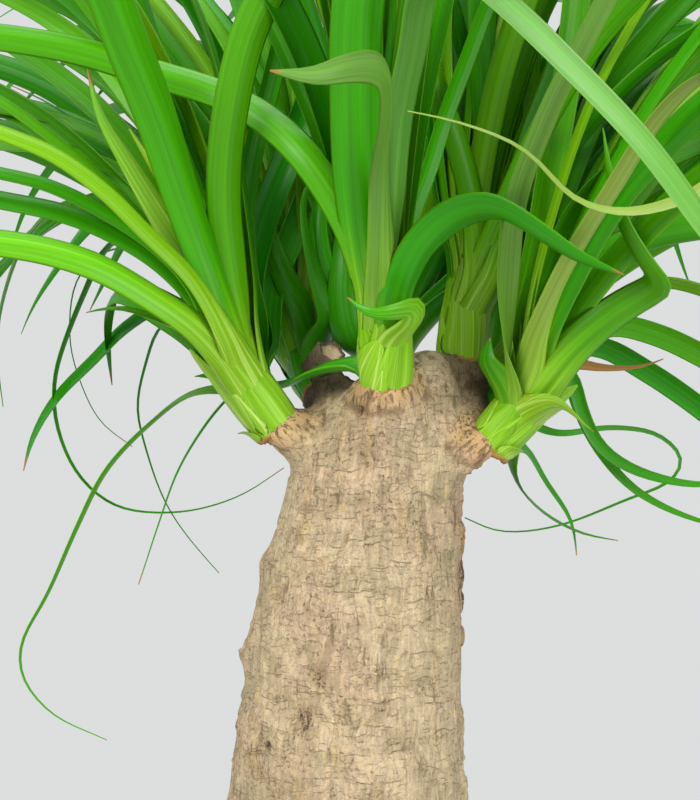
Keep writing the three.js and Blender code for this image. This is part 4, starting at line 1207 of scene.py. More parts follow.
class Foliage:
    """The leaves of one shoot as one mesh, swept along their ribs by Geometry Nodes."""

    SLOT = "leaf"
    SIDES = 12  # corners of a blade's section
    KEPT = {"blade", "age", "dye", "position", "sharp_face", "material_index"}
    SCALES = 6  # short clasping scales round the foot of a shoot
    MARGIN = 3.0  # ribs stay this far inside the plant's box
    # The core's outline: radius and height, with a dry ragged lip at its foot.
    CORE = (
        (0, -4), (12.2, -6), (13.0, -5.0), (13.1, -4.0), (12.4, -3.2), (11.4, -2.4),
        (11.2, 10), (10.4, 22), (8.8, 30), (6.2, 35.5), (2.8, 38.5), (0, 39.2),
    )
    LIP = (-3.4, -2.4)  # the core is dry below these heights

    def __init__(self, shoot: Shoot, finish: Material) -> None:
        """Takes up a shoot.

        Args:
            shoot: what the leaves belong to.
            finish: their material.
        """
        self.shoot = shoot
        self.finish = finish
        self.stations = Stations()
        self.numbers = np.random.default_rng(shoot.seed)

    # -- Ribs and frames --

    def foot_points(self, leaf: Leaf) -> list[Array]:
        """Where a leaf's foot runs up the core before the leaf leaves it.

        Args:
            leaf: the leaf.

        Returns:
            The lower and the upper point.
        """
        shoot = self.shoot
        lowest, highest = GROWTH.foot_range
        lift = (leaf.foot - lowest) / (highest - lowest)
        height = mix(*SEAT.heights, lift) + self.numbers.uniform(-SEAT.stray, SEAT.stray)
        reach = mix(*SEAT.reaches, lift) + self.numbers.uniform(-SEAT.stray, SEAT.stray)
        climb = mix(*SEAT.climbs, min(1.0, lift * 4))
        low = shoot.start + shoot.up * height + leaf.outward * (reach - SEAT.sunk)
        high = shoot.start + shoot.up * (height + climb) + leaf.outward * (reach + SEAT.proud)
        return [low, high]

    def dressed_rib(self, leaf: Leaf) -> Array:
        """A leaf's rib with its foot on the core, at evenly graded stations.

        Args:
            leaf: the leaf.

        Returns:
            The stations.
        """
        away = np.linalg.norm(leaf.rib - self.shoot.start, axis=1)
        feet = self.foot_points(leaf)
        past = int(np.argmax(away > np.linalg.norm(feet[1] - self.shoot.start) + SEAT.clear))
        line = curve_through([*feet, *leaf.rib[past::2], leaf.rib[-1] + 1e-3], 4)
        return self.graded(line)

    def graded(self, line: Array) -> Array:
        """Stations along a line, closer together at its foot.

        Args:
            line: the line.

        Returns:
            The stations, smoothed a little.
        """
        travelled = distances_along(line)
        count = int(np.clip(travelled[-1] / SECTION.spacing, SECTION.fewest, SECTION.most))
        stops = np.linspace(0, 1, count + 1) ** SECTION.crowding * travelled[-1]
        rib = np.column_stack([np.interp(stops, travelled, line[:, axis]) for axis in range(3)])
        rib[1:-1] += (rib[:-2] + rib[2:] - 2 * rib[1:-1]) * 0.25
        return rib

    def wander(self, rib: Array, distance: Array) -> Array:
        """Lets a rib stray a little, more so towards its tip.

        Args:
            rib: the stations.
            distance: how far along each station is.

        Returns:
            The stations, moved.
        """
        phases = self.numbers.uniform(0, 2 * math.pi, (3, 2))
        stray = sum(
            np.column_stack([np.sin(distance / length + phases[axis, wave]) for axis in range(3)])
            for wave, length in enumerate(SECTION.waves)
        )
        return rib + stray * (SECTION.wander * 0.5 * smooth(distance, *SECTION.wander_range))[:, None]

    def frames(self, rib: Array, leaf: Leaf, distance: Array) -> tuple[Array, Array]:
        """The blade's side and face at each station.

        The foot faces the core, and the blade turns from there to its own bearing.

        Args:
            rib: the stations.
            leaf: the leaf.
            distance: how far along each station is.

        Returns:
            Side and face vectors, a row for each station.
        """
        tangents = np.gradient(rib, axis=0)
        tangents /= np.linalg.norm(tangents, axis=1)[:, None]
        share = distance / distance[-1]
        side, face = leaf.side, -leaf.outward
        sides, faces, turns = [], [], []
        for tangent, along in zip(tangents, share):
            side, face = across_to(side, tangent), across_to(face, tangent)
            hug = np.cross(face, tangent)
            turn = math.radians(mix(*leaf.turns, along))
            own = side * math.cos(turn) + np.cross(tangent, side) * math.sin(turn)
            turns.append(math.atan2(own @ face, own @ hug))
            sides.append(hug)
            faces.append(face)
        turns = np.unwrap(turns)
        settled = turns[np.argmax(distance > min(SECTION.clasp[1], distance[-1] * 0.6))]
        turns -= round(settled / math.pi) * math.pi
        turns *= smooth(distance, *SECTION.clasp)
        hug, face = np.array(sides), np.array(faces)
        cos, sin = np.cos(turns)[:, None], np.sin(turns)[:, None]
        return hug * cos + face * sin, face * cos - hug * sin

    # -- Straps --

    def add_leaf(self, leaf: Leaf) -> None:
        """Adds one leaf's stations.

        Args:
            leaf: the leaf.
        """
        rib = self.dressed_rib(leaf)
        distance = distances_along(rib)
        share = distance / distance[-1]
        rib = self.wander(rib, distance)
        side, face = self.frames(rib, leaf, distance)
        narrow = smooth(distance, 0, SECTION.foot_reach)
        foot = min(SECTION.foot_half_width, leaf.width * 0.5 + SECTION.foot_margin)
        taper = 1 - np.clip((share - SECTION.taper_start) / (1 - SECTION.taper_start), 0, 1) ** leaf.taper
        lobe = 0.5 + 0.5 * np.sqrt(1 - (1 - np.clip(distance / SECTION.lobe_length, 0, 1)) ** 2)
        half = (foot * (1 - narrow) + leaf.width / 2 * narrow) * taper * lobe + SECTION.least_half_width
        open_up = smooth(distance, *SECTION.opening)
        blade_wrap = SECTION.blade_wrap + (SECTION.tip_wrap - SECTION.blade_wrap) * share
        foot_wrap = np.maximum(half / SECTION.foot_radius, SECTION.least_wrap)
        thick = SECTION.blade_thickness + (SECTION.foot_thickness - SECTION.blade_thickness) * (1 - narrow)
        thick = thick * (0.55 + 0.45 * taper) * (0.3 + 0.7 * smooth(distance, 0, 8))
        dead = float(leaf.tone is Tone.DEAD)
        pale = leaf.tone.paleness * (1 - smooth(distance, 12, leaf.tone.pale_reach))
        dry_tip = self.numbers.uniform(0.93, 1.02)
        dry = np.maximum(dead, smooth(share, dry_tip, dry_tip + 0.05))
        tint = np.clip(self.numbers.normal(1, 0.22), 0.6, 1.6)
        warm = float(np.clip(np.exp(self.numbers.normal(0.08, 0.3)), 0.7, 1.3))
        dye = np.array(leaf.tone.dye) * (min(tint * warm, 1.35), np.sqrt(tint), tint)
        self.stations.add_strap(
            rail=self.inside(rib) * MM,
            side=side,
            face=face,
            half=half * MM,
            wrap=foot_wrap * (1 - open_up) + blade_wrap * open_up,
            thick=thick / 2 * MM,
            keel=SECTION.keel * open_up * (1 - 0.5 * share),
            trail=self.trail(distance),
            age=np.column_stack([pale, dry, half * MM]),
            dye=np.tile(dye, (len(rib), 1)),
        )

    def trail(self, distance: Array) -> Array:
        """The column that the veins follow: how far along, and a number for the whole strap."""
        number = self.numbers.uniform(0, 90)
        return np.column_stack([np.zeros_like(distance), distance * MM, np.full_like(distance, number)])

    def inside(self, rib: Array) -> Array:
        """Keeps a rib inside the plant's box."""
        low, high = (np.array(corner) / MM for corner in CAD_BOX)
        return np.clip(rib, low + self.MARGIN, high - self.MARGIN)

    def add_scales(self) -> None:
        """Adds the short clasping scales round the shoot's foot."""
        shoot, numbers = self.shoot, self.numbers
        start, beside, _ = axes_about(shoot.up)
        for number in range(self.SCALES):
            turn = math.radians(number * GROWTH.golden_turn + numbers.uniform(-12, 12))
            outward = start * math.cos(turn) + beside * math.sin(turn)
            curl = numbers.uniform(0, 1) ** 3 * 5 - 2.5
            slant = numbers.uniform(-0.9, 0.9)
            length = numbers.uniform(24, 60)
            reach = 13.4 - 1.2 * number / self.SCALES
            self.add_scale(Clasp(outward, length, curl, reach, slant, numbers.uniform(15, 20)))
        for clasp in shoot.clasps:
            self.add_scale(replace(clasp, side=across_to(clasp.side, shoot.up)))

    def add_scale(self, scale: Clasp) -> None:
        """Adds one clasping scale.

        Args:
            scale: the scale, its side square to the shoot.
        """
        up, start = self.shoot.up, self.shoot.start
        lift = np.linspace(0, 1, 6)
        away = scale.reach + scale.curl * lift**3 - 1.5 * (1 - lift) ** 8
        foot = self.numbers.uniform(-4.8, -3.6)
        turn = (lift * scale.slant)[:, None]
        away = (scale.side * np.cos(turn) + np.cross(up, scale.side) * np.sin(turn)) * away[:, None]
        lost = 0.25 * max(scale.curl, 0) / scale.length * lift**4
        line = start + up * (foot + scale.length * (lift - lost))[:, None]
        rib = self.graded(curve_through(list(line + away), 6))
        distance = distances_along(rib)
        share = distance / distance[-1]
        tangents = np.gradient(rib, axis=0)
        spokes = rib - start
        spokes -= (spokes @ up)[:, None] * up
        side = np.cross(tangents, spokes)
        side /= np.linalg.norm(side, axis=1)[:, None]
        face = np.cross(side, tangents)
        face /= -np.linalg.norm(face, axis=1)[:, None]
        lobe = 0.45 + 0.55 * np.sqrt(1 - (1 - np.clip(distance / 8, 0, 1)) ** 2)
        half = scale.breadth * (1 - share**1.3 * 0.98) ** 0.75 * lobe
        dry = smooth(share, 0.85, 1.1) * self.numbers.uniform(0, 0.8) + 0.7 * (1 - smooth(distance, 0, 1.5))
        tint = self.numbers.uniform(0.75, 1.35)
        sheath = self.shoot.sheath
        self.stations.add_strap(
            rail=rib * MM,
            side=side,
            face=face,
            half=half * MM,
            wrap=np.maximum(half / (scale.reach - 0.4), SECTION.least_wrap),
            thick=(0.6 - 0.35 * share) * MM,
            keel=np.zeros_like(share),
            trail=self.trail(distance),
            age=np.column_stack([sheath.paleness * tint * (1 - 0.4 * share), dry, half * MM]),
            dye=np.tile(np.array(sheath.dye) * (tint, tint**0.4, tint), (len(rib), 1)),
        )

    # -- The mesh --

    def sweep(self, piece: Object) -> None:
        """Sweeps a curved blade section along every rib.

        Args:
            piece: the stations, joined rib by rib, which become the blades.
        """
        graph = ShapeGraph(f"blades_{self.shoot.name}", Sides=self.SIDES)
        rails = graph.add("GeometryNodeMeshToCurve", None, {"Mesh": graph.input("Geometry")})
        inputs = {"Resolution": graph.input("Sides"), "Radius": 1.0}
        ring = graph.add("GeometryNodeCurvePrimitiveCircle", None, inputs)
        spot = graph.term(graph.add("GeometryNodeInputPosition"))
        profile = graph.store(graph.term(ring), "section", spot, VECTOR)
        inputs = {"Curve": graph.term(rails), "Profile Curve": profile, "Fill Caps": True}
        swept = graph.term(graph.add("GeometryNodeCurveToMesh", None, inputs))
        across, through, _ = graph.parts(graph.named("section", VECTOR))
        half, wrap, thick = graph.named("half"), graph.named("wrap"), graph.named("thick")
        angle = across * wrap
        radius = half / wrap
        sideways = radius * angle.of_one("SINE")
        fold = across * across + 0.03
        body = through * thick * (1.0 - across * across * 0.55)
        cupped = radius * (1.0 - angle.of_one("COSINE")) + body
        cupped = cupped + fold.of_one("SQRT") * half * graph.named("keel")
        place = (
            graph.named("rail", VECTOR)
            + graph.named("side", VECTOR) * sideways
            + graph.named("face", VECTOR) * cupped
        )
        blade = graph.named("trail", VECTOR) + graph.vector(across, 0.0, 0.0)
        swept = graph.store(swept, "blade", blade, VECTOR)
        moved = graph.add("GeometryNodeSetPosition", None, {"Geometry": swept, "Position": place})
        graph.apply(piece, graph.term(moved), self.finish)

    def core(self) -> Object:
        """The fleshy middle of the shoot, which the leaf feet wrap.

        Returns:
            The core.
        """
        points, faces = turned(self.CORE, 48)
        around = np.arctan2(points[:, 1], points[:, 0])
        ragged = np.sin(around * 5 + 1) + np.sin(around * 11) * 0.8 + np.sin(around * 17 + 2) * 0.6
        points[:, 2] += ragged * 0.5 * (points[:, 2] < -2.5)
        points[:, :2] *= (1 + 0.02 * ragged * (points[:, 2] < -2))[:, None]
        placed = points @ axes_about(self.shoot.up) + self.shoot.start
        count = len(points)
        high = points[:, 2]
        sheath = self.shoot.sheath
        pale, dry = np.full(count, sheath.paleness), 1 - smooth(high, *self.LIP)
        turn = np.arctan2(points[:, 1], points[:, 0])
        attributes = {
            "blade": np.column_stack([np.sin(turn * 3), high * MM, np.full(count, 5.0)]),
            "age": np.column_stack([pale, dry, np.full(count, 0.012)]),
            "dye": np.tile(sheath.dye, (count, 1)),
        }
        core = make_object(f"core_{self.shoot.name}", placed * MM, (), faces, attributes)
        core.data.materials.append(self.finish)
        return core

    def build(self) -> None:
        """Builds, dresses and hands over the shoot's foliage."""
        leaves = self.shoot.all_leaves()
        for leaf in leaves:
            self.add_leaf(leaf)
        self.add_scales()
        rail = self.stations.column("rail")
        attributes = {name: self.stations.column(name) for name in self.stations.columns}
        piece = make_object(f"leaves_{self.shoot.name}", rail, self.stations.edges, (), attributes)
        self.sweep(piece)
        for name in [a.name for a in piece.data.attributes if a.domain == "POINT"]:
            if name not in self.KEPT and not name.startswith("."):
                piece.data.attributes.remove(piece.data.attributes[name])
        merge(piece, self.core())
        log.info("%s has %d leaves", self.shoot.name, len(leaves))
        hand_over(piece, self.shoot.node)


def merge(piece: Object, *others: Object) -> None:
    """Joins other objects into a piece.

    Args:
        piece: what they become part of.
        others: the objects.
    """
    bpy.ops.object.select_all(action="DESELECT")
    for each in (piece, *others):
        each.select_set(True)
    bpy.context.view_layer.objects.active = piece
    bpy.ops.object.join()
    piece.select_set(False)


# ---- Trunk ----


@dataclass(frozen=True)
class BarkFinish:
    """Corky bark: upright columns of small tiles, fibres, ochre ridges, dark specks and pits."""

    cream: Colour = (0.600, 0.475, 0.300)
    pink: Colour = (0.580, 0.420, 0.280)
    grey: Colour = (0.400, 0.320, 0.190)
    ochre: Colour = (0.520, 0.350, 0.105)
    olive: Colour = (0.270, 0.225, 0.110)
    # dark brown of cracks, also laid into the gullies beside the ridges as painted shade
    crack: Colour = (0.150, 0.095, 0.045)
    # near-black of the pits, also laid on as painted shade under the crown and round the stub's cut
    pit: Colour = (0.035, 0.020, 0.012)
    collar: Colour = (0.480, 0.270, 0.095)
    rust: Colour = (0.280, 0.130, 0.070)
    roughness: float = 0.88
    depth: float = 0.0014

    def tiles(
        self, graph: MaterialGraph, place: Term, columns: Point, pitch: float, line: float
    ) -> tuple[Term, Term]:
        """Columns of tiles, each column's seams at heights of their own.

        Args:
            graph: the material.
            place: where.
            columns: columns a metre, along each axis.
            pitch: height of a tile, in metres.
            line: half the width of a seam, as a share of the pitch.

        Returns:
            The seams, from 0 to 1, and a number from 0 to 1 for each tile.
        """
        cell = graph.cells(place, columns, "F1")
        chance, other, _ = graph.parts(graph.term(cell, "Color"))
        _, _, height = graph.parts(place)
        course = height / pitch + chance * 7.0
        level = graph.rise(abs(course.of_one("FRACT") - 0.5), 0.5 - line, 0.5 - line * 0.3)
        edge = graph.term(graph.cells(place, columns), "Distance")
        upright = 1.0 - graph.rise(edge, 0.012, 0.045)
        key = graph.vector(chance * 31.0, course.of_one("FLOOR"), other * 17.0)
        tile = graph.term(graph.add("ShaderNodeTexWhiteNoise", None, {"Vector": key}))
        return level.join("MAXIMUM", level, upright * 0.45), tile

    def dots(self, graph: MaterialGraph, place: Term, scale: Point, size: float, mask: Term) -> Term:
        """Round dark dots, thinned out by a mask."""
        distance = graph.term(graph.cells(place, scale, "F1"), "Distance")
        return (1.0 - graph.rise(distance, size * 0.5, size)) * mask

    def material(self) -> Material:
        """Builds the material.

        Returns:
            The material.
        """
        graph = MaterialGraph("bark", 0.2)
        place = graph.place()
        sleeve = graph.attribute("sleeve", "Vector")
        # bark marks: collar share, furrow (partly painted shade) and ridge crest (partly painted highlight)
        collar, furrow, ridge = graph.parts(graph.attribute("bark", "Vector"))
        # painted shade: how far the bark is darkened under the crown and round the stub's cut
        hollow = graph.attribute("hollow", "Fac")
        cut = graph.attribute("cut", "Fac")
        scar = graph.attribute("scar", "Fac")
        bent = graph.stray(graph.stray(place, 45.0, 0.010), 260.0, 0.0022)
        broad = graph.noise(place, 20.0, 3.0)
        patch = graph.noise(place, 70.0, 4.0, 0.6)
        fibre = graph.noise(graph.stretch(bent, (560.0, 560.0, 75.0)), 1.0, 4.0, 0.65)
        wrinkle = graph.noise(graph.stretch(sleeve, (480.0, 480.0, 60.0)), 1.0, 3.0, 0.6)
        fibre = graph.mixed(collar, fibre, wrinkle)
        grit = graph.noise(place, 1100.0, 3.0, 0.65)
        streak = graph.rise(graph.noise(graph.stretch(bent, (330.0, 330.0, 26.0)), 1.0, 3.0, 0.6), 0.57, 0.70)
        streak = streak * graph.rise(patch + broad * 0.5, 0.62, 0.84)
        worn = graph.rise(patch, 0.38, 0.62)
        coarse, slab = self.tiles(graph, bent, (48.0, 48.0, 7.0), 0.0125, 0.026)
        fine, tile = self.tiles(graph, bent, (270.0, 270.0, 48.0), 0.0034, 0.12)
        coarse = coarse * graph.rise(graph.noise(bent, 120.0, 2.0), 0.40, 0.58) * (1.0 - collar)
        fine = fine * graph.rise(graph.noise(bent, 190.0, 2.0), 0.42, 0.62) * (1.0 - collar)
        crowd = graph.rise(patch + broad * 0.7, 0.72, 0.98)
        speck = self.dots(graph, bent, (520.0, 520.0, 400.0), 0.42, crowd)
        speck = speck * graph.rise(graph.noise(place, 300.0, 1.0), 0.42, 0.60)
        pit = self.dots(graph, bent, (210.0, 210.0, 130.0), 0.48, graph.rise(patch, 0.60, 0.70))
        pit = pit * graph.rise(graph.noise(graph.stretch(place, (1.0, 1.0, 0.5)), 45.0, 1.0), 0.58, 0.66)
        colour = graph.layered(
            graph.mix(graph.rise(broad, 0.42, 0.58), self.cream, self.pink),
            (graph.rise(slab * 0.5 + patch, 0.62, 1.0) * 0.75, self.grey),
            (graph.rise(fibre, 0.54, 0.76) * 0.50, self.ochre),
            # ochre on the ridge crests: the bark's ochre, partly a painted highlight on the raised ridges
            (ridge * (1.0 - worn * 0.4) * 0.85, self.ochre),
            (graph.rise(broad * 0.6 + patch * 0.6, 0.64, 0.80) * 0.45, self.olive),
        )
        shade = fibre * 1.12 + grit * 0.68 + tile * 0.18 + slab * 0.12 - 0.20
        fold = graph.rise(0.5 - wrinkle, 0.03, 0.14) * collar
        pocked = graph.rise(scar * 0.5 + fibre * 0.8 + grit * 0.7, 1.18, 1.34)
        colour = graph.layered(
            graph.shaded(colour, shade),
            (collar * (0.10 + wrinkle * 0.9), self.collar),
            (fold * 0.65, self.crack),
            (scar * 0.35, self.rust),
            (fine * 0.42, self.crack),
            (coarse * 0.42, self.crack),
            (streak * 0.62, self.crack),
            # darker in the ring grooves, seams and wrinkle valleys; in the gullies beside the ridges this is
            # painted shade
            (graph.rise(furrow, 0.25, 1.0) * 0.62, self.crack),
            (speck * 0.70, self.crack),
            (pit * 0.90, self.pit),
            (pocked * 0.85, self.pit),
            # painted shade under the crown and on the stub's rim, in the pits' near-black
            (hollow * 0.82, self.pit),
            (cut, self.cream),
        )
        relief = fibre * 1.0 + grit * 0.5 + slab * 0.08 + tile * 0.12 - fine * 0.22 - coarse * 0.30
        relief = relief - speck * 0.3 - pit - fold * 0.8 - pocked * 0.6 - streak * 0.35
        return graph.dress(colour, self.roughness - ridge * 0.12, relief, self.depth)


@dataclass
class Trunk:
    """The trunk with its collars and its cut stub, rounded and barked."""

    voxel: float = 0.0040
    ring_pitch: float = 0.0145
    ring_depth: float = 0.0007
    lump_height: float = 0.0034
    ridge_height: float = 0.0022
    wrinkle_depth: float = 0.0024
    stub_place: Point = (-2.5, -5, 668.5)
    stub_axis: Point = (0.42, -0.62, 0.66)
    stub_radius: float = 6.6
    NODE = "trunk"
    SLOT = "bark"
    # Flesh between the collars: foot, tip, and the radius at each, in millimetres.
    SADDLES = (
        ((10, -12, 596), (15, -26, 650), 25, 11),
        ((44, -12, 600), (45, -14, 664), 26, 12),
        ((62, -4, 596), (66, -2, 640), 22, 12),
        ((8, 20, 600), (6, 26, 648), 24, 12),
        ((48, 26, 600), (48, 30, 650), 24, 12),
    )
    # The stem under the collars: height, middle, radius; the collars draw in to it.
    STEM = ((565, 13.8, 49.2), (595, 18.2, 44.8), (630, 23.2, 41.2), (700, 26.0, 41.2))
    # Shoots whose collars draw in: how low the drawing in starts and ends under the shoot's base.
    DRAWN = {
        "left": (7, 27), "right": (8, 26), "back_left": (12, 40), "back": (12, 40), "back_right": (12, 36),
    }
    # The stub's outline: share of its radius, and height.
    STUB = (
        (0, -16), (1.3, -16), (1.15, -6), (1.1, 0.5), (1.02, 1.4),
        (0.86, 0.6), (0.7, -0.6), (0.4, -1.0), (0, -1.0),
    )
    # Healed and broken places on the front: middle across and up, half width and half height.
    SCARS = ((-14, 492, 7, 14), (-7, 514, 5, 9), (12, 640, 4, 9), (63, 560, 5, 40))
    # Stumps of old leaves on the left edge: height, how far they stand out, half height.
    KNOBS = ((562, 4.5, 6.0), (517, 3.0, 5.0), (440, 3.0, 6.0))
    KNOB_TURN = 0.16  # half the width of a stump, in radians

    def saddle(self, foot: Point, tip: Point, foot_radius: float, tip_radius: float) -> Object:
        """A tapered, round-ended bar of flesh.

        Args:
            foot: where it starts.
            tip: where its round end starts.
            foot_radius: its radius at the foot.
            tip_radius: its radius at the tip.

        Returns:
            The bar.
        """
        length = float(np.linalg.norm(np.subtract(tip, foot)))
        rise = tip_radius * 0.6
        dome = [(tip_radius * math.cos(a), length + rise * math.sin(a)) for a in (0.0, 0.5, 1.0, 1.3)]
        points, faces = turned([(0, 0), (foot_radius, 0), *dome, (0, length + rise)], 24)
        return make_object("saddle", self.stood(points, foot, np.subtract(tip, foot)) * MM, (), faces)

    @staticmethod
    def stood(points: Array, foot: Point, axis: Point) -> Array:
        """Points of an upright shape, stood on a foot along an axis."""
        return points @ axes_about(unit(axis)) + foot

    def stub(self) -> Object:
        """The cut end of an old shoot: a ragged rim in painted shade round a pale hollowed cut.

        Returns:
            The stub.
        """
        size = self.stub_radius
        points, faces = turned([(size * share, height) for share, height in self.STUB], 28)
        turn = np.arctan2(points[:, 1], points[:, 0])
        wobble = 1 + 0.10 * np.sin(turn * 3 + 1) + 0.06 * np.sin(turn * 7)
        points[:, :2] *= wobble[:, None]
        points[:, 2] += 0.8 * np.sin(turn * 4) * (points[:, 2] > 0)
        pale = (np.linalg.norm(points[:, :2], axis=1) < size * 0.75 * wobble) & (points[:, 2] > -5)
        # the stub's rim outside the pale cut is darkened as painted shade
        attributes = {"cut": pale * 0.8, "hollow": np.where(pale, 0.0, 0.9)}
        points = self.stood(points, self.stub_place, self.stub_axis)
        return make_object("stub", points * MM, (), faces, attributes)

    def rounded(self) -> Object:
        """A copy of the solid, filled out between its collars, rounded off and finely divided.

        Returns:
            The copy.
        """
        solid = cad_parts[self.NODE]
        piece = bpy.data.objects.new("trunk_bark", solid.data.copy())
        bpy.context.scene.collection.objects.link(piece)
        merge(piece, *(self.saddle(*row) for row in self.SADDLES))
        piece.modifiers.new("weld", "WELD").merge_threshold = 1e-6
        remesh = piece.modifiers.new("remesh", "REMESH")
        remesh.mode, remesh.voxel_size = "VOXEL", self.voxel
        bake(piece)
        self.draw_in(piece.data)
        relax = piece.modifiers.new("relax", "SMOOTH")
        relax.factor, relax.iterations = 0.5, 11
        divide = piece.modifiers.new("divide", "SUBSURF")
        divide.levels = divide.render_levels = 1
        bake(piece)
        return piece

    def draw_in(self, mesh: Mesh) -> None:
        """Draws the underside of the leaning collars in to the stem, and adds the stumps.

        Args:
            mesh: the rounded trunk.
        """
        points = points_of(mesh) / MM
        heights, middles, radii = np.array(self.STEM, float).T
        middle = np.column_stack([np.interp(points[:, 2], heights, middles), np.zeros(len(points))])
        away = points[:, :2] - middle
        distance = np.linalg.norm(away, axis=1)
        stem = np.interp(points[:, 2], heights, radii)
        kept = np.ones(len(points))
        for shoot in SHOOTS:
            if shoot.name in self.DRAWN:
                start, end = (shoot.base[2] - drop for drop in self.DRAWN[shoot.name])
                near = np.linalg.norm(away / distance[:, None] - unit(shoot.up[:2]), axis=1) < 1.1
                kept = np.where(near, np.minimum(kept, smooth(points[:, 2], end, start)), kept)
        out = np.maximum(distance - stem, 0) * (points[:, 2] > self.STEM[0][0])
        inside = distance - out * (1 - kept)
        turn = np.arctan2(away[:, 1], -away[:, 0])
        for height, size, half in self.KNOBS:
            off = ((points[:, 2] - height) / half) ** 2
            inside += size * np.exp(-off - (turn / self.KNOB_TURN) ** 2)
        points[:, :2] = middle + away * (inside / distance)[:, None]
        mesh.vertices.foreach_set("co", (points * MM).astype(np.float32).ravel())

    def add_grain(self, mesh: Mesh) -> None:
        """Gives each point its place in the nearest collar, how far it belongs to it, and painted shade.

        Args:
            mesh: the rounded trunk.
        """
        points = points_of(mesh)
        sleeve = points.copy()
        collar = np.zeros(len(points))
        for number, shoot in enumerate(SHOOTS):
            length, foot_radius, end_radius = np.array(shoot.collar) * MM
            away = points - np.array(shoot.base) * MM
            along = away @ shoot.up
            radial = np.linalg.norm(away - along[:, None] * shoot.up, axis=1)
            share = np.clip(-along / length, 0, 1)
            skin = end_radius + (foot_radius - end_radius) * share
            gap = np.abs(radial - skin) / skin
            tinge = (1 - smooth(share, 0.05, 0.5)) * (1 - smooth(gap, 0.2, 0.5)) * (along < 0.012)
            stronger = tinge > collar
            sleeve[stronger] = (away @ axes_about(shoot.up).T)[stronger] + number
            collar = np.maximum(collar, tinge)
        x, y, z = points.T / MM
        # painted shade: bark above about 630 mm, from the middle back to about 50 mm deep, is darkened where
        # the crown shades it
        hollow = smooth(y, -24, 2) * smooth(z, 618, 640) * (1 - smooth(y, 40, 55))
        add_attribute(mesh, "sleeve", sleeve)
        add_attribute(mesh, "seam", np.exp(-(((collar - 0.35) / 0.2) ** 2)) * smooth(z, 560, 590))
        add_attribute(mesh, "neck", smooth(z, 630, 650) * (1 - collar))
        add_attribute(mesh, "collar", collar * (1 - hollow))
        add_attribute(mesh, "hollow", hollow)
        scar = np.zeros(len(points))
        for middle, height, half_width, half_height in self.SCARS:
            spot = np.exp(-(((x - middle) / half_width) ** 2) - ((z - height) / half_height) ** 2)
            scar = np.maximum(scar, spot * (y < 0))
        add_attribute(mesh, "scar", scar)

    def carve(self, piece: Object, finish: Material) -> None:
        """Carves rings, lumps, upright ridges and collar wrinkles into the rounded trunk.

        Args:
            piece: the trunk.
            finish: its material.
        """
        graph = ShapeGraph(
            "bark_relief", Pitch=self.ring_pitch, Rings=self.ring_depth, Lumps=self.lump_height,
            Ridges=self.ridge_height, Wrinkles=self.wrinkle_depth,
        )
        place = graph.term(graph.add("GeometryNodeInputPosition"))
        collar = graph.named("collar")
        _, _, height = graph.parts(place)
        sway = graph.noise(place, 38.0, 2.0)
        turn = (height + (sway - 0.5) * 0.016) * (2 * math.pi) / graph.input("Pitch")
        groove = graph.rise(turn.of_one("COSINE"), 0.70, 1.0)
        groove = groove * graph.rise(graph.noise(place, 52.0, 2.0), 0.45, 0.62) * (1.0 - collar)
        lumps = graph.noise(graph.stretch(place, (1.0, 1.0, 0.6)), 34.0, 2.0) - 0.5
        upright = graph.noise(graph.stretch(graph.stray(place, 30.0, 0.012), (1.0, 1.0, 0.16)), 150.0, 2.0)
        where = graph.rise(graph.noise(place, 40.0, 2.0), 0.42, 0.60)
        crest = graph.rise(upright, 0.58, 0.68) * where
        # the gully beside each ridge is sunk, and in the furrow mark it is also painted dark as shade
        gully = graph.rise(0.5 - upright, 0.08, 0.2) * where * (1.0 - collar)
        sleeve = graph.stretch(graph.named("sleeve", VECTOR), (1.0, 1.0, 0.13))
        wrinkle = graph.noise(sleeve, 240.0, 2.0) - 0.5
        creased = collar + graph.named("neck") * 0.8
        seam = graph.named("seam") * graph.rise(graph.noise(place, 90.0, 2.0), 0.40, 0.55)
        offset = (
            lumps * graph.input("Lumps")
            + (crest * (1.0 - collar) - gully * 0.8) * graph.input("Ridges")
            - groove * graph.input("Rings")
            + (wrinkle * creased - seam * 0.4) * graph.input("Wrinkles")
        )
        normal = graph.term(graph.add("GeometryNodeInputNormal"))
        inputs = {"Geometry": graph.input("Geometry"), "Offset": normal * offset}
        moved = graph.term(graph.add("GeometryNodeSetPosition", None, inputs))
        # furrow: darkening of grooves, seams and wrinkle valleys, with painted shade in the ridges' gullies
        furrow = groove * 0.35 + gully + seam + graph.rise(0.0 - wrinkle, 0.02, 0.12) * creased
        marks = graph.vector(collar, furrow, crest)
        marked = graph.store(moved, "bark", marks, VECTOR)
        graph.apply(piece, marked, finish)

    def build(self) -> None:
        """Builds, dresses and hands over the trunk."""
        piece = self.rounded()
        self.add_grain(piece.data)
        piece.data.materials.clear()
        finish = BarkFinish().material()
        self.carve(piece, finish)
        stub = self.stub()
        stub.data.materials.append(finish)
        merge(piece, stub)
        hand_over(piece, self.NODE)


# ---- Soil and pot ----


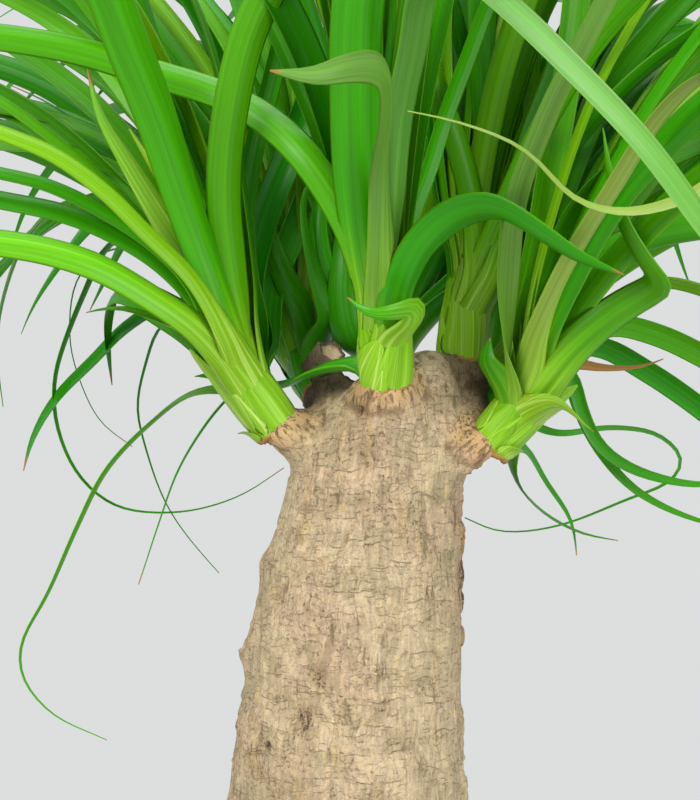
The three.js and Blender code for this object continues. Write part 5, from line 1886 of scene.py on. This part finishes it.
@dataclass(frozen=True)
class SoilFinish:
    """Dark, damp potting mix with brown and grey bark bits."""

    dark: Colour = (0.016, 0.010, 0.007)
    brown: Colour = (0.070, 0.036, 0.018)
    tan: Colour = (0.190, 0.110, 0.058)
    roughness: float = 0.82
    depth: float = 0.0012

    def material(self) -> Material:
        """Builds the material.

        Returns:
            The material.
        """
        graph = MaterialGraph("potting_mix", 0.35)
        place = graph.place()
        kind = graph.attribute("chip", "Fac")
        crumbs = graph.noise(place, 260.0, 5.0, 0.65)
        grain = graph.noise(graph.stretch(place, (1.0, 1.0, 0.4)), 900.0, 3.0, 0.6)
        colour = graph.ramp(crumbs, (0.35, self.dark), (0.55, self.brown), (0.80, self.tan))
        chip = graph.ramp(kind, (0.0, self.dark), (0.45, self.brown), (1.0, self.tan))
        colour = graph.mix(graph.rise(kind, 0.01, 0.05), colour, chip)
        shade = 0.55 + grain * 0.9
        colour = graph.shaded(colour, shade)
        return graph.dress(colour, self.roughness + crumbs * 0.1, crumbs + grain * 0.4, self.depth)


@dataclass
class Soil:
    """The mounded top of the soil, strewn with chips."""

    level: float = 0.225
    mound: float = 0.006
    rings: int = 40
    sides: int = 128
    chips: int = 1500
    chip_size: float = 0.0052
    lump: float = 0.0022
    batter: float = 0.132  # the wall of the pot leans this much
    fit: float = 0.0006  # the bed stays this far inside the solid
    mound_start: float = 0.088  # the mound is level within this radius
    dressed_area: float = 0.045  # over which the chips are counted, in square metres
    NODE = "soil"
    SLOT = "soil"

    def bed(self) -> Object:
        """The soil's body, before its top is roughened.

        Returns:
            The bed.
        """
        low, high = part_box(self.NODE)
        edge = self.rim_radius()
        foot = edge - (self.level - low.z) * self.batter
        outline = [(0.0, low.z), (foot, low.z), (edge, self.level - self.mound - 0.001)]
        outline += [
            (mix(edge, self.mound_start, share), self.level - self.mound * (1 - share) ** 1.5)
            for share in (i / self.rings for i in range(self.rings + 1))
        ]
        outline.append((0.0, self.level - 0.001))
        points, faces = turned(outline, self.sides)
        return make_object("soil_mix", points, (), faces)

    def rim_radius(self) -> float:
        """Radius of the soil's edge, from the solid."""
        points = points_of(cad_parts[self.NODE].data)
        return float(np.linalg.norm(points[:, :2], axis=1).max()) - self.fit

    def chip(self) -> Object:
        """One rough chip of twenty faces.

        Returns:
            The chip.
        """
        bpy.ops.mesh.primitive_ico_sphere_add(subdivisions=1, radius=1.0)
        chip = bpy.context.object
        numbers = np.random.default_rng(7)
        points = points_of(chip.data) * (1.0, 0.62, 0.34) * numbers.uniform(0.75, 1.15, (12, 1))
        chip.data.vertices.foreach_set("co", points.astype(np.float32).ravel())
        return chip

    def strew(self, piece: Object, chip: Object, finish: Material) -> None:
        """Roughens the bed and strews chips over its top.

        Args:
            piece: the bed.
            chip: the chip.
            finish: the material of both.
        """
        graph = ShapeGraph("strewn_soil", Chips=self.chips, Size=self.chip_size, Lump=self.lump, Seed=11)
        place = graph.term(graph.add("GeometryNodeInputPosition"))
        normal = graph.term(graph.add("GeometryNodeInputNormal"))
        _, _, facing = graph.parts(normal)
        top = graph.rise(facing, 0.5, 0.8)
        lift = (graph.noise(place, 110.0, 4.0, 0.6) - 0.55) * graph.input("Lump") * top
        inputs = {"Geometry": graph.input("Geometry"), "Offset": graph.vector(0.0, 0.0, lift)}
        bed = graph.term(graph.add("GeometryNodeSetPosition", None, inputs))
        density = graph.input("Chips") / self.dressed_area * graph.rise(facing, 0.85, 0.9)
        area = graph.add("GeometryNodeDistributePointsOnFaces", {"distribute_method": "RANDOM"}, {
            "Mesh": bed, "Density": density, "Seed": graph.input("Seed"),
        })
        spin = graph.add("FunctionNodeRandomValue", {"data_type": VECTOR}, {
            0: (-0.5, -0.5, 0.0), 1: (0.5, 0.5, 6.28), "Seed": 3,
        })
        size = graph.add("FunctionNodeRandomValue", {"data_type": "FLOAT"}, {2: 0.35, 3: 1.0, "Seed": 4})
        shape = graph.add("GeometryNodeObjectInfo", {"transform_space": "ORIGINAL"}, {"Object": chip})
        laid = graph.add("GeometryNodeInstanceOnPoints", None, {
            "Points": graph.term(area), "Instance": graph.term(shape, "Geometry"),
            "Rotation": graph.term(spin), "Scale": graph.term(size, 1) * graph.input("Size"),
        })
        kind = graph.add("FunctionNodeRandomValue", {"data_type": "FLOAT"}, {2: 0.06, 3: 1.0, "Seed": 5})
        marked = graph.add("GeometryNodeStoreNamedAttribute", {"data_type": "FLOAT", "domain": "INSTANCE"}, {
            "Geometry": graph.term(laid), "Name": "chip", "Value": graph.term(kind, 1),
        })
        both = graph.add("GeometryNodeJoinGeometry")
        graph.tree.links.new(bed.socket, both.inputs[0])
        graph.tree.links.new(marked.outputs[0], both.inputs[0])
        graph.apply(piece, graph.term(both), finish)

    def build(self) -> None:
        """Builds, dresses and hands over the soil."""
        piece, chip = self.bed(), self.chip()
        self.strew(piece, chip, SoilFinish().material())
        bpy.data.objects.remove(chip)
        hand_over(piece, self.NODE)


@dataclass(frozen=True)
class ClayFinish:
    """Unglazed clay: mottled orange brown, faint turning marks, a pale bloom of lime."""

    clay: Colour = (0.470, 0.185, 0.085)
    fired: Colour = (0.330, 0.115, 0.050)
    bloom: Colour = (0.640, 0.470, 0.360)
    roughness: float = 0.80
    depth: float = 0.00035

    def material(self) -> Material:
        """Builds the material.

        Returns:
            The material.
        """
        graph = MaterialGraph("clay", 0.3)
        place = graph.place()
        _, _, height = graph.parts(place)
        mottle = graph.noise(place, 14.0, 4.0)
        fine = graph.noise(place, 700.0, 3.0, 0.6)
        marks = graph.noise(graph.vector(0.0, 0.0, height + (mottle - 0.5) * 0.002), 420.0, 2.0)
        bloom = graph.rise(graph.noise(graph.stretch(place, (1.0, 1.0, 0.5)), 26.0, 5.0, 0.6), 0.54, 0.74)
        colour = graph.mix(graph.rise(mottle, 0.35, 0.65), self.clay, self.fired)
        colour = graph.mix(bloom * 0.45, colour, self.bloom)
        shade = 0.84 + fine * 0.20 + marks * 0.14
        colour = graph.shaded(colour, shade)
        return graph.dress(colour, self.roughness + bloom * 0.12, fine * 0.5 + marks, self.depth)


@dataclass
class Pot:
    """The turned pot: a plain tapered wall under a thicker band, rounded at rim and foot."""

    height: float = 0.250
    rim_radius: float = 0.150
    foot_radius: float = 0.112
    wall: float = 0.009
    floor: float = 0.014
    band: float = 0.036
    step: float = 0.005
    rounding: float = 0.0035
    sides: int = 144
    NODE = "pot"
    SLOT = "pot"

    def outside(self, height: float) -> float:
        """The radius of the wall's outside at a height."""
        return self.foot_radius + (self.rim_radius - self.step - self.foot_radius) / self.height * height

    def outline(self) -> list[Corner]:
        """The section's corners, rounded, from the underside round to the inside floor.

        Returns:
            Radius and height of each point.
        """
        band_foot = self.height - self.band
        corners = [
            (self.foot_radius, 0.0),
            (self.outside(band_foot), band_foot - 0.002),
            (self.rim_radius - 0.001, band_foot),
            (self.rim_radius, self.height),
            (self.outside(self.height) - self.wall, self.height),
            (self.outside(self.floor) - self.wall, self.floor),
        ]
        path = [(0.0, 0.0)]
        chain = [(0.0, 0.0), *corners, (0.0, self.floor)]
        for before, corner, after in zip(chain, chain[1:], chain[2:]):
            path += rounded_corner(before, corner, after, self.rounding)
        return [*path, (0.0, self.floor)]

    def build(self) -> None:
        """Builds, dresses and hands over the pot."""
        points, faces = turned(self.outline(), self.sides)
        piece = make_object("pot_clay", points, (), faces)
        piece.data.materials.append(ClayFinish().material())
        hand_over(piece, self.NODE)


def rounded_corner(
    before: Corner, corner: Corner, after: Corner, size: float, steps: int = 5
) -> list[Corner]:
    """A corner of an outline, rounded off by a curve.

    Args:
        before: the corner before it.
        corner: the corner.
        after: the corner after it.
        size: how far along its two sides the rounding reaches.
        steps: steps along the curve.

    Returns:
        The curve's points.
    """
    middle = np.array(corner)
    sides = [np.array(other) - middle for other in (before, after)]
    arms = [unit(side) * min(size, np.linalg.norm(side) / 2) for side in sides]
    curve = []
    for step in range(steps + 1):
        t = step / steps
        curve.append(tuple(middle + arms[0] * (1 - t) ** 2 + arms[1] * t**2))
    return curve


# ---- Studio ----


@dataclass
class Studio:
    """A pale floor, soft light and a camera level with the head of the trunk."""

    camera_place: Point = (0.007, -1.0, 0.645)
    lens: float = 90.0
    sensor: float = 36.0
    nearest: float = 0.02  # the camera sees nothing closer
    floor_radius: float = 1.5
    floor_corners: int = 96
    floor_drop: float = 0.0005  # the floor lies this far under the pot
    floor_paper: Colour = (0.50, 0.505, 0.505)
    paper: Colour = (0.720, 0.735, 0.735)

    def light(self, name: str, place: Point, target: Point, size: float, power: float, tint: Colour) -> None:
        """Adds a soft square light.

        Args:
            name: its name.
            place: where it hangs.
            target: what it faces.
            size: its side, in metres.
            power: its power, in watts.
            tint: its colour.
        """
        lamp = bpy.data.lights.new(name, "AREA")
        lamp.size, lamp.energy, lamp.color = size, power, tint
        holder = bpy.data.objects.new(name, lamp)
        holder.location = place
        direction = np.array(target) - place
        holder.rotation_euler = vector_turn(direction)
        bpy.context.scene.collection.objects.link(holder)

    def set_camera(self) -> None:
        """Places the camera, level and looking to the back."""
        lens = bpy.data.cameras.new("camera")
        lens.lens, lens.sensor_width, lens.clip_start = self.lens, self.sensor, self.nearest
        camera = bpy.data.objects.new("camera", lens)
        camera.location = self.camera_place
        camera.rotation_euler = (math.pi / 2, 0, 0)
        bpy.context.scene.collection.objects.link(camera)
        bpy.context.scene.camera = camera

    def lay_floor(self) -> None:
        """Lays the round pale floor."""
        ring = np.linspace(0, 2 * math.pi, self.floor_corners, endpoint=False)
        points = np.column_stack([np.cos(ring), np.sin(ring), np.zeros_like(ring)]) * self.floor_radius
        points[:, 2] = -self.floor_drop
        floor = make_object("floor", points, (), [list(range(self.floor_corners))])
        graph = MaterialGraph("paper", 0.2)
        graph.plug(graph.shader.inputs["Base Color"], self.floor_paper)
        graph.plug(graph.shader.inputs["Roughness"], 0.9)
        floor.data.materials.append(graph.material)

    def light_room(self) -> None:
        """Sets the pale room and its soft lights."""
        world = bpy.data.worlds.new("room")
        world.use_nodes = True
        room = world.node_tree.nodes["Background"]
        room.inputs["Color"].default_value = (*self.paper, 1.0)
        room.inputs["Strength"].default_value = 1.0
        bpy.context.scene.world = world
        target = (0.02, 0.0, 0.66)
        self.light("key", (-1.1, -1.4, 1.6), target, 1.0, 37.0, (1.0, 0.98, 0.94))
        self.light("fill", (1.3, -1.3, 0.9), target, 1.3, 24.0, (0.99, 1.0, 0.98))
        self.light("top", (0.1, 0.1, 2.2), target, 1.4, 20.0, (1.0, 1.0, 0.98))
        bpy.context.scene.view_settings.view_transform = "Standard"

    def build(self) -> None:
        """Sets up the studio."""
        self.set_camera()
        self.lay_floor()
        self.light_room()
        log.info("studio: camera at %s", self.camera_place)


def vector_turn(direction: Array) -> tuple[float, float, float]:
    """The turn that points a light along a direction."""
    flat = math.hypot(direction[0], direction[1])
    return (math.atan2(flat, -direction[2]), 0.0, math.atan2(direction[1], direction[0]) - math.pi / 2)


# ---- The whole plant ----


def main() -> None:
    """Builds the plant piece by piece, then the studio."""
    logging.basicConfig(level=logging.INFO, format="%(message)s")
    Pot().build()
    Soil().build()
    Trunk().build()
    leaf_finish = LeafFinish().material()
    for shoot in SHOOTS:
        Foliage(shoot, leaf_finish).build()
    Studio().build()


if __name__ == "__main__":
    main()
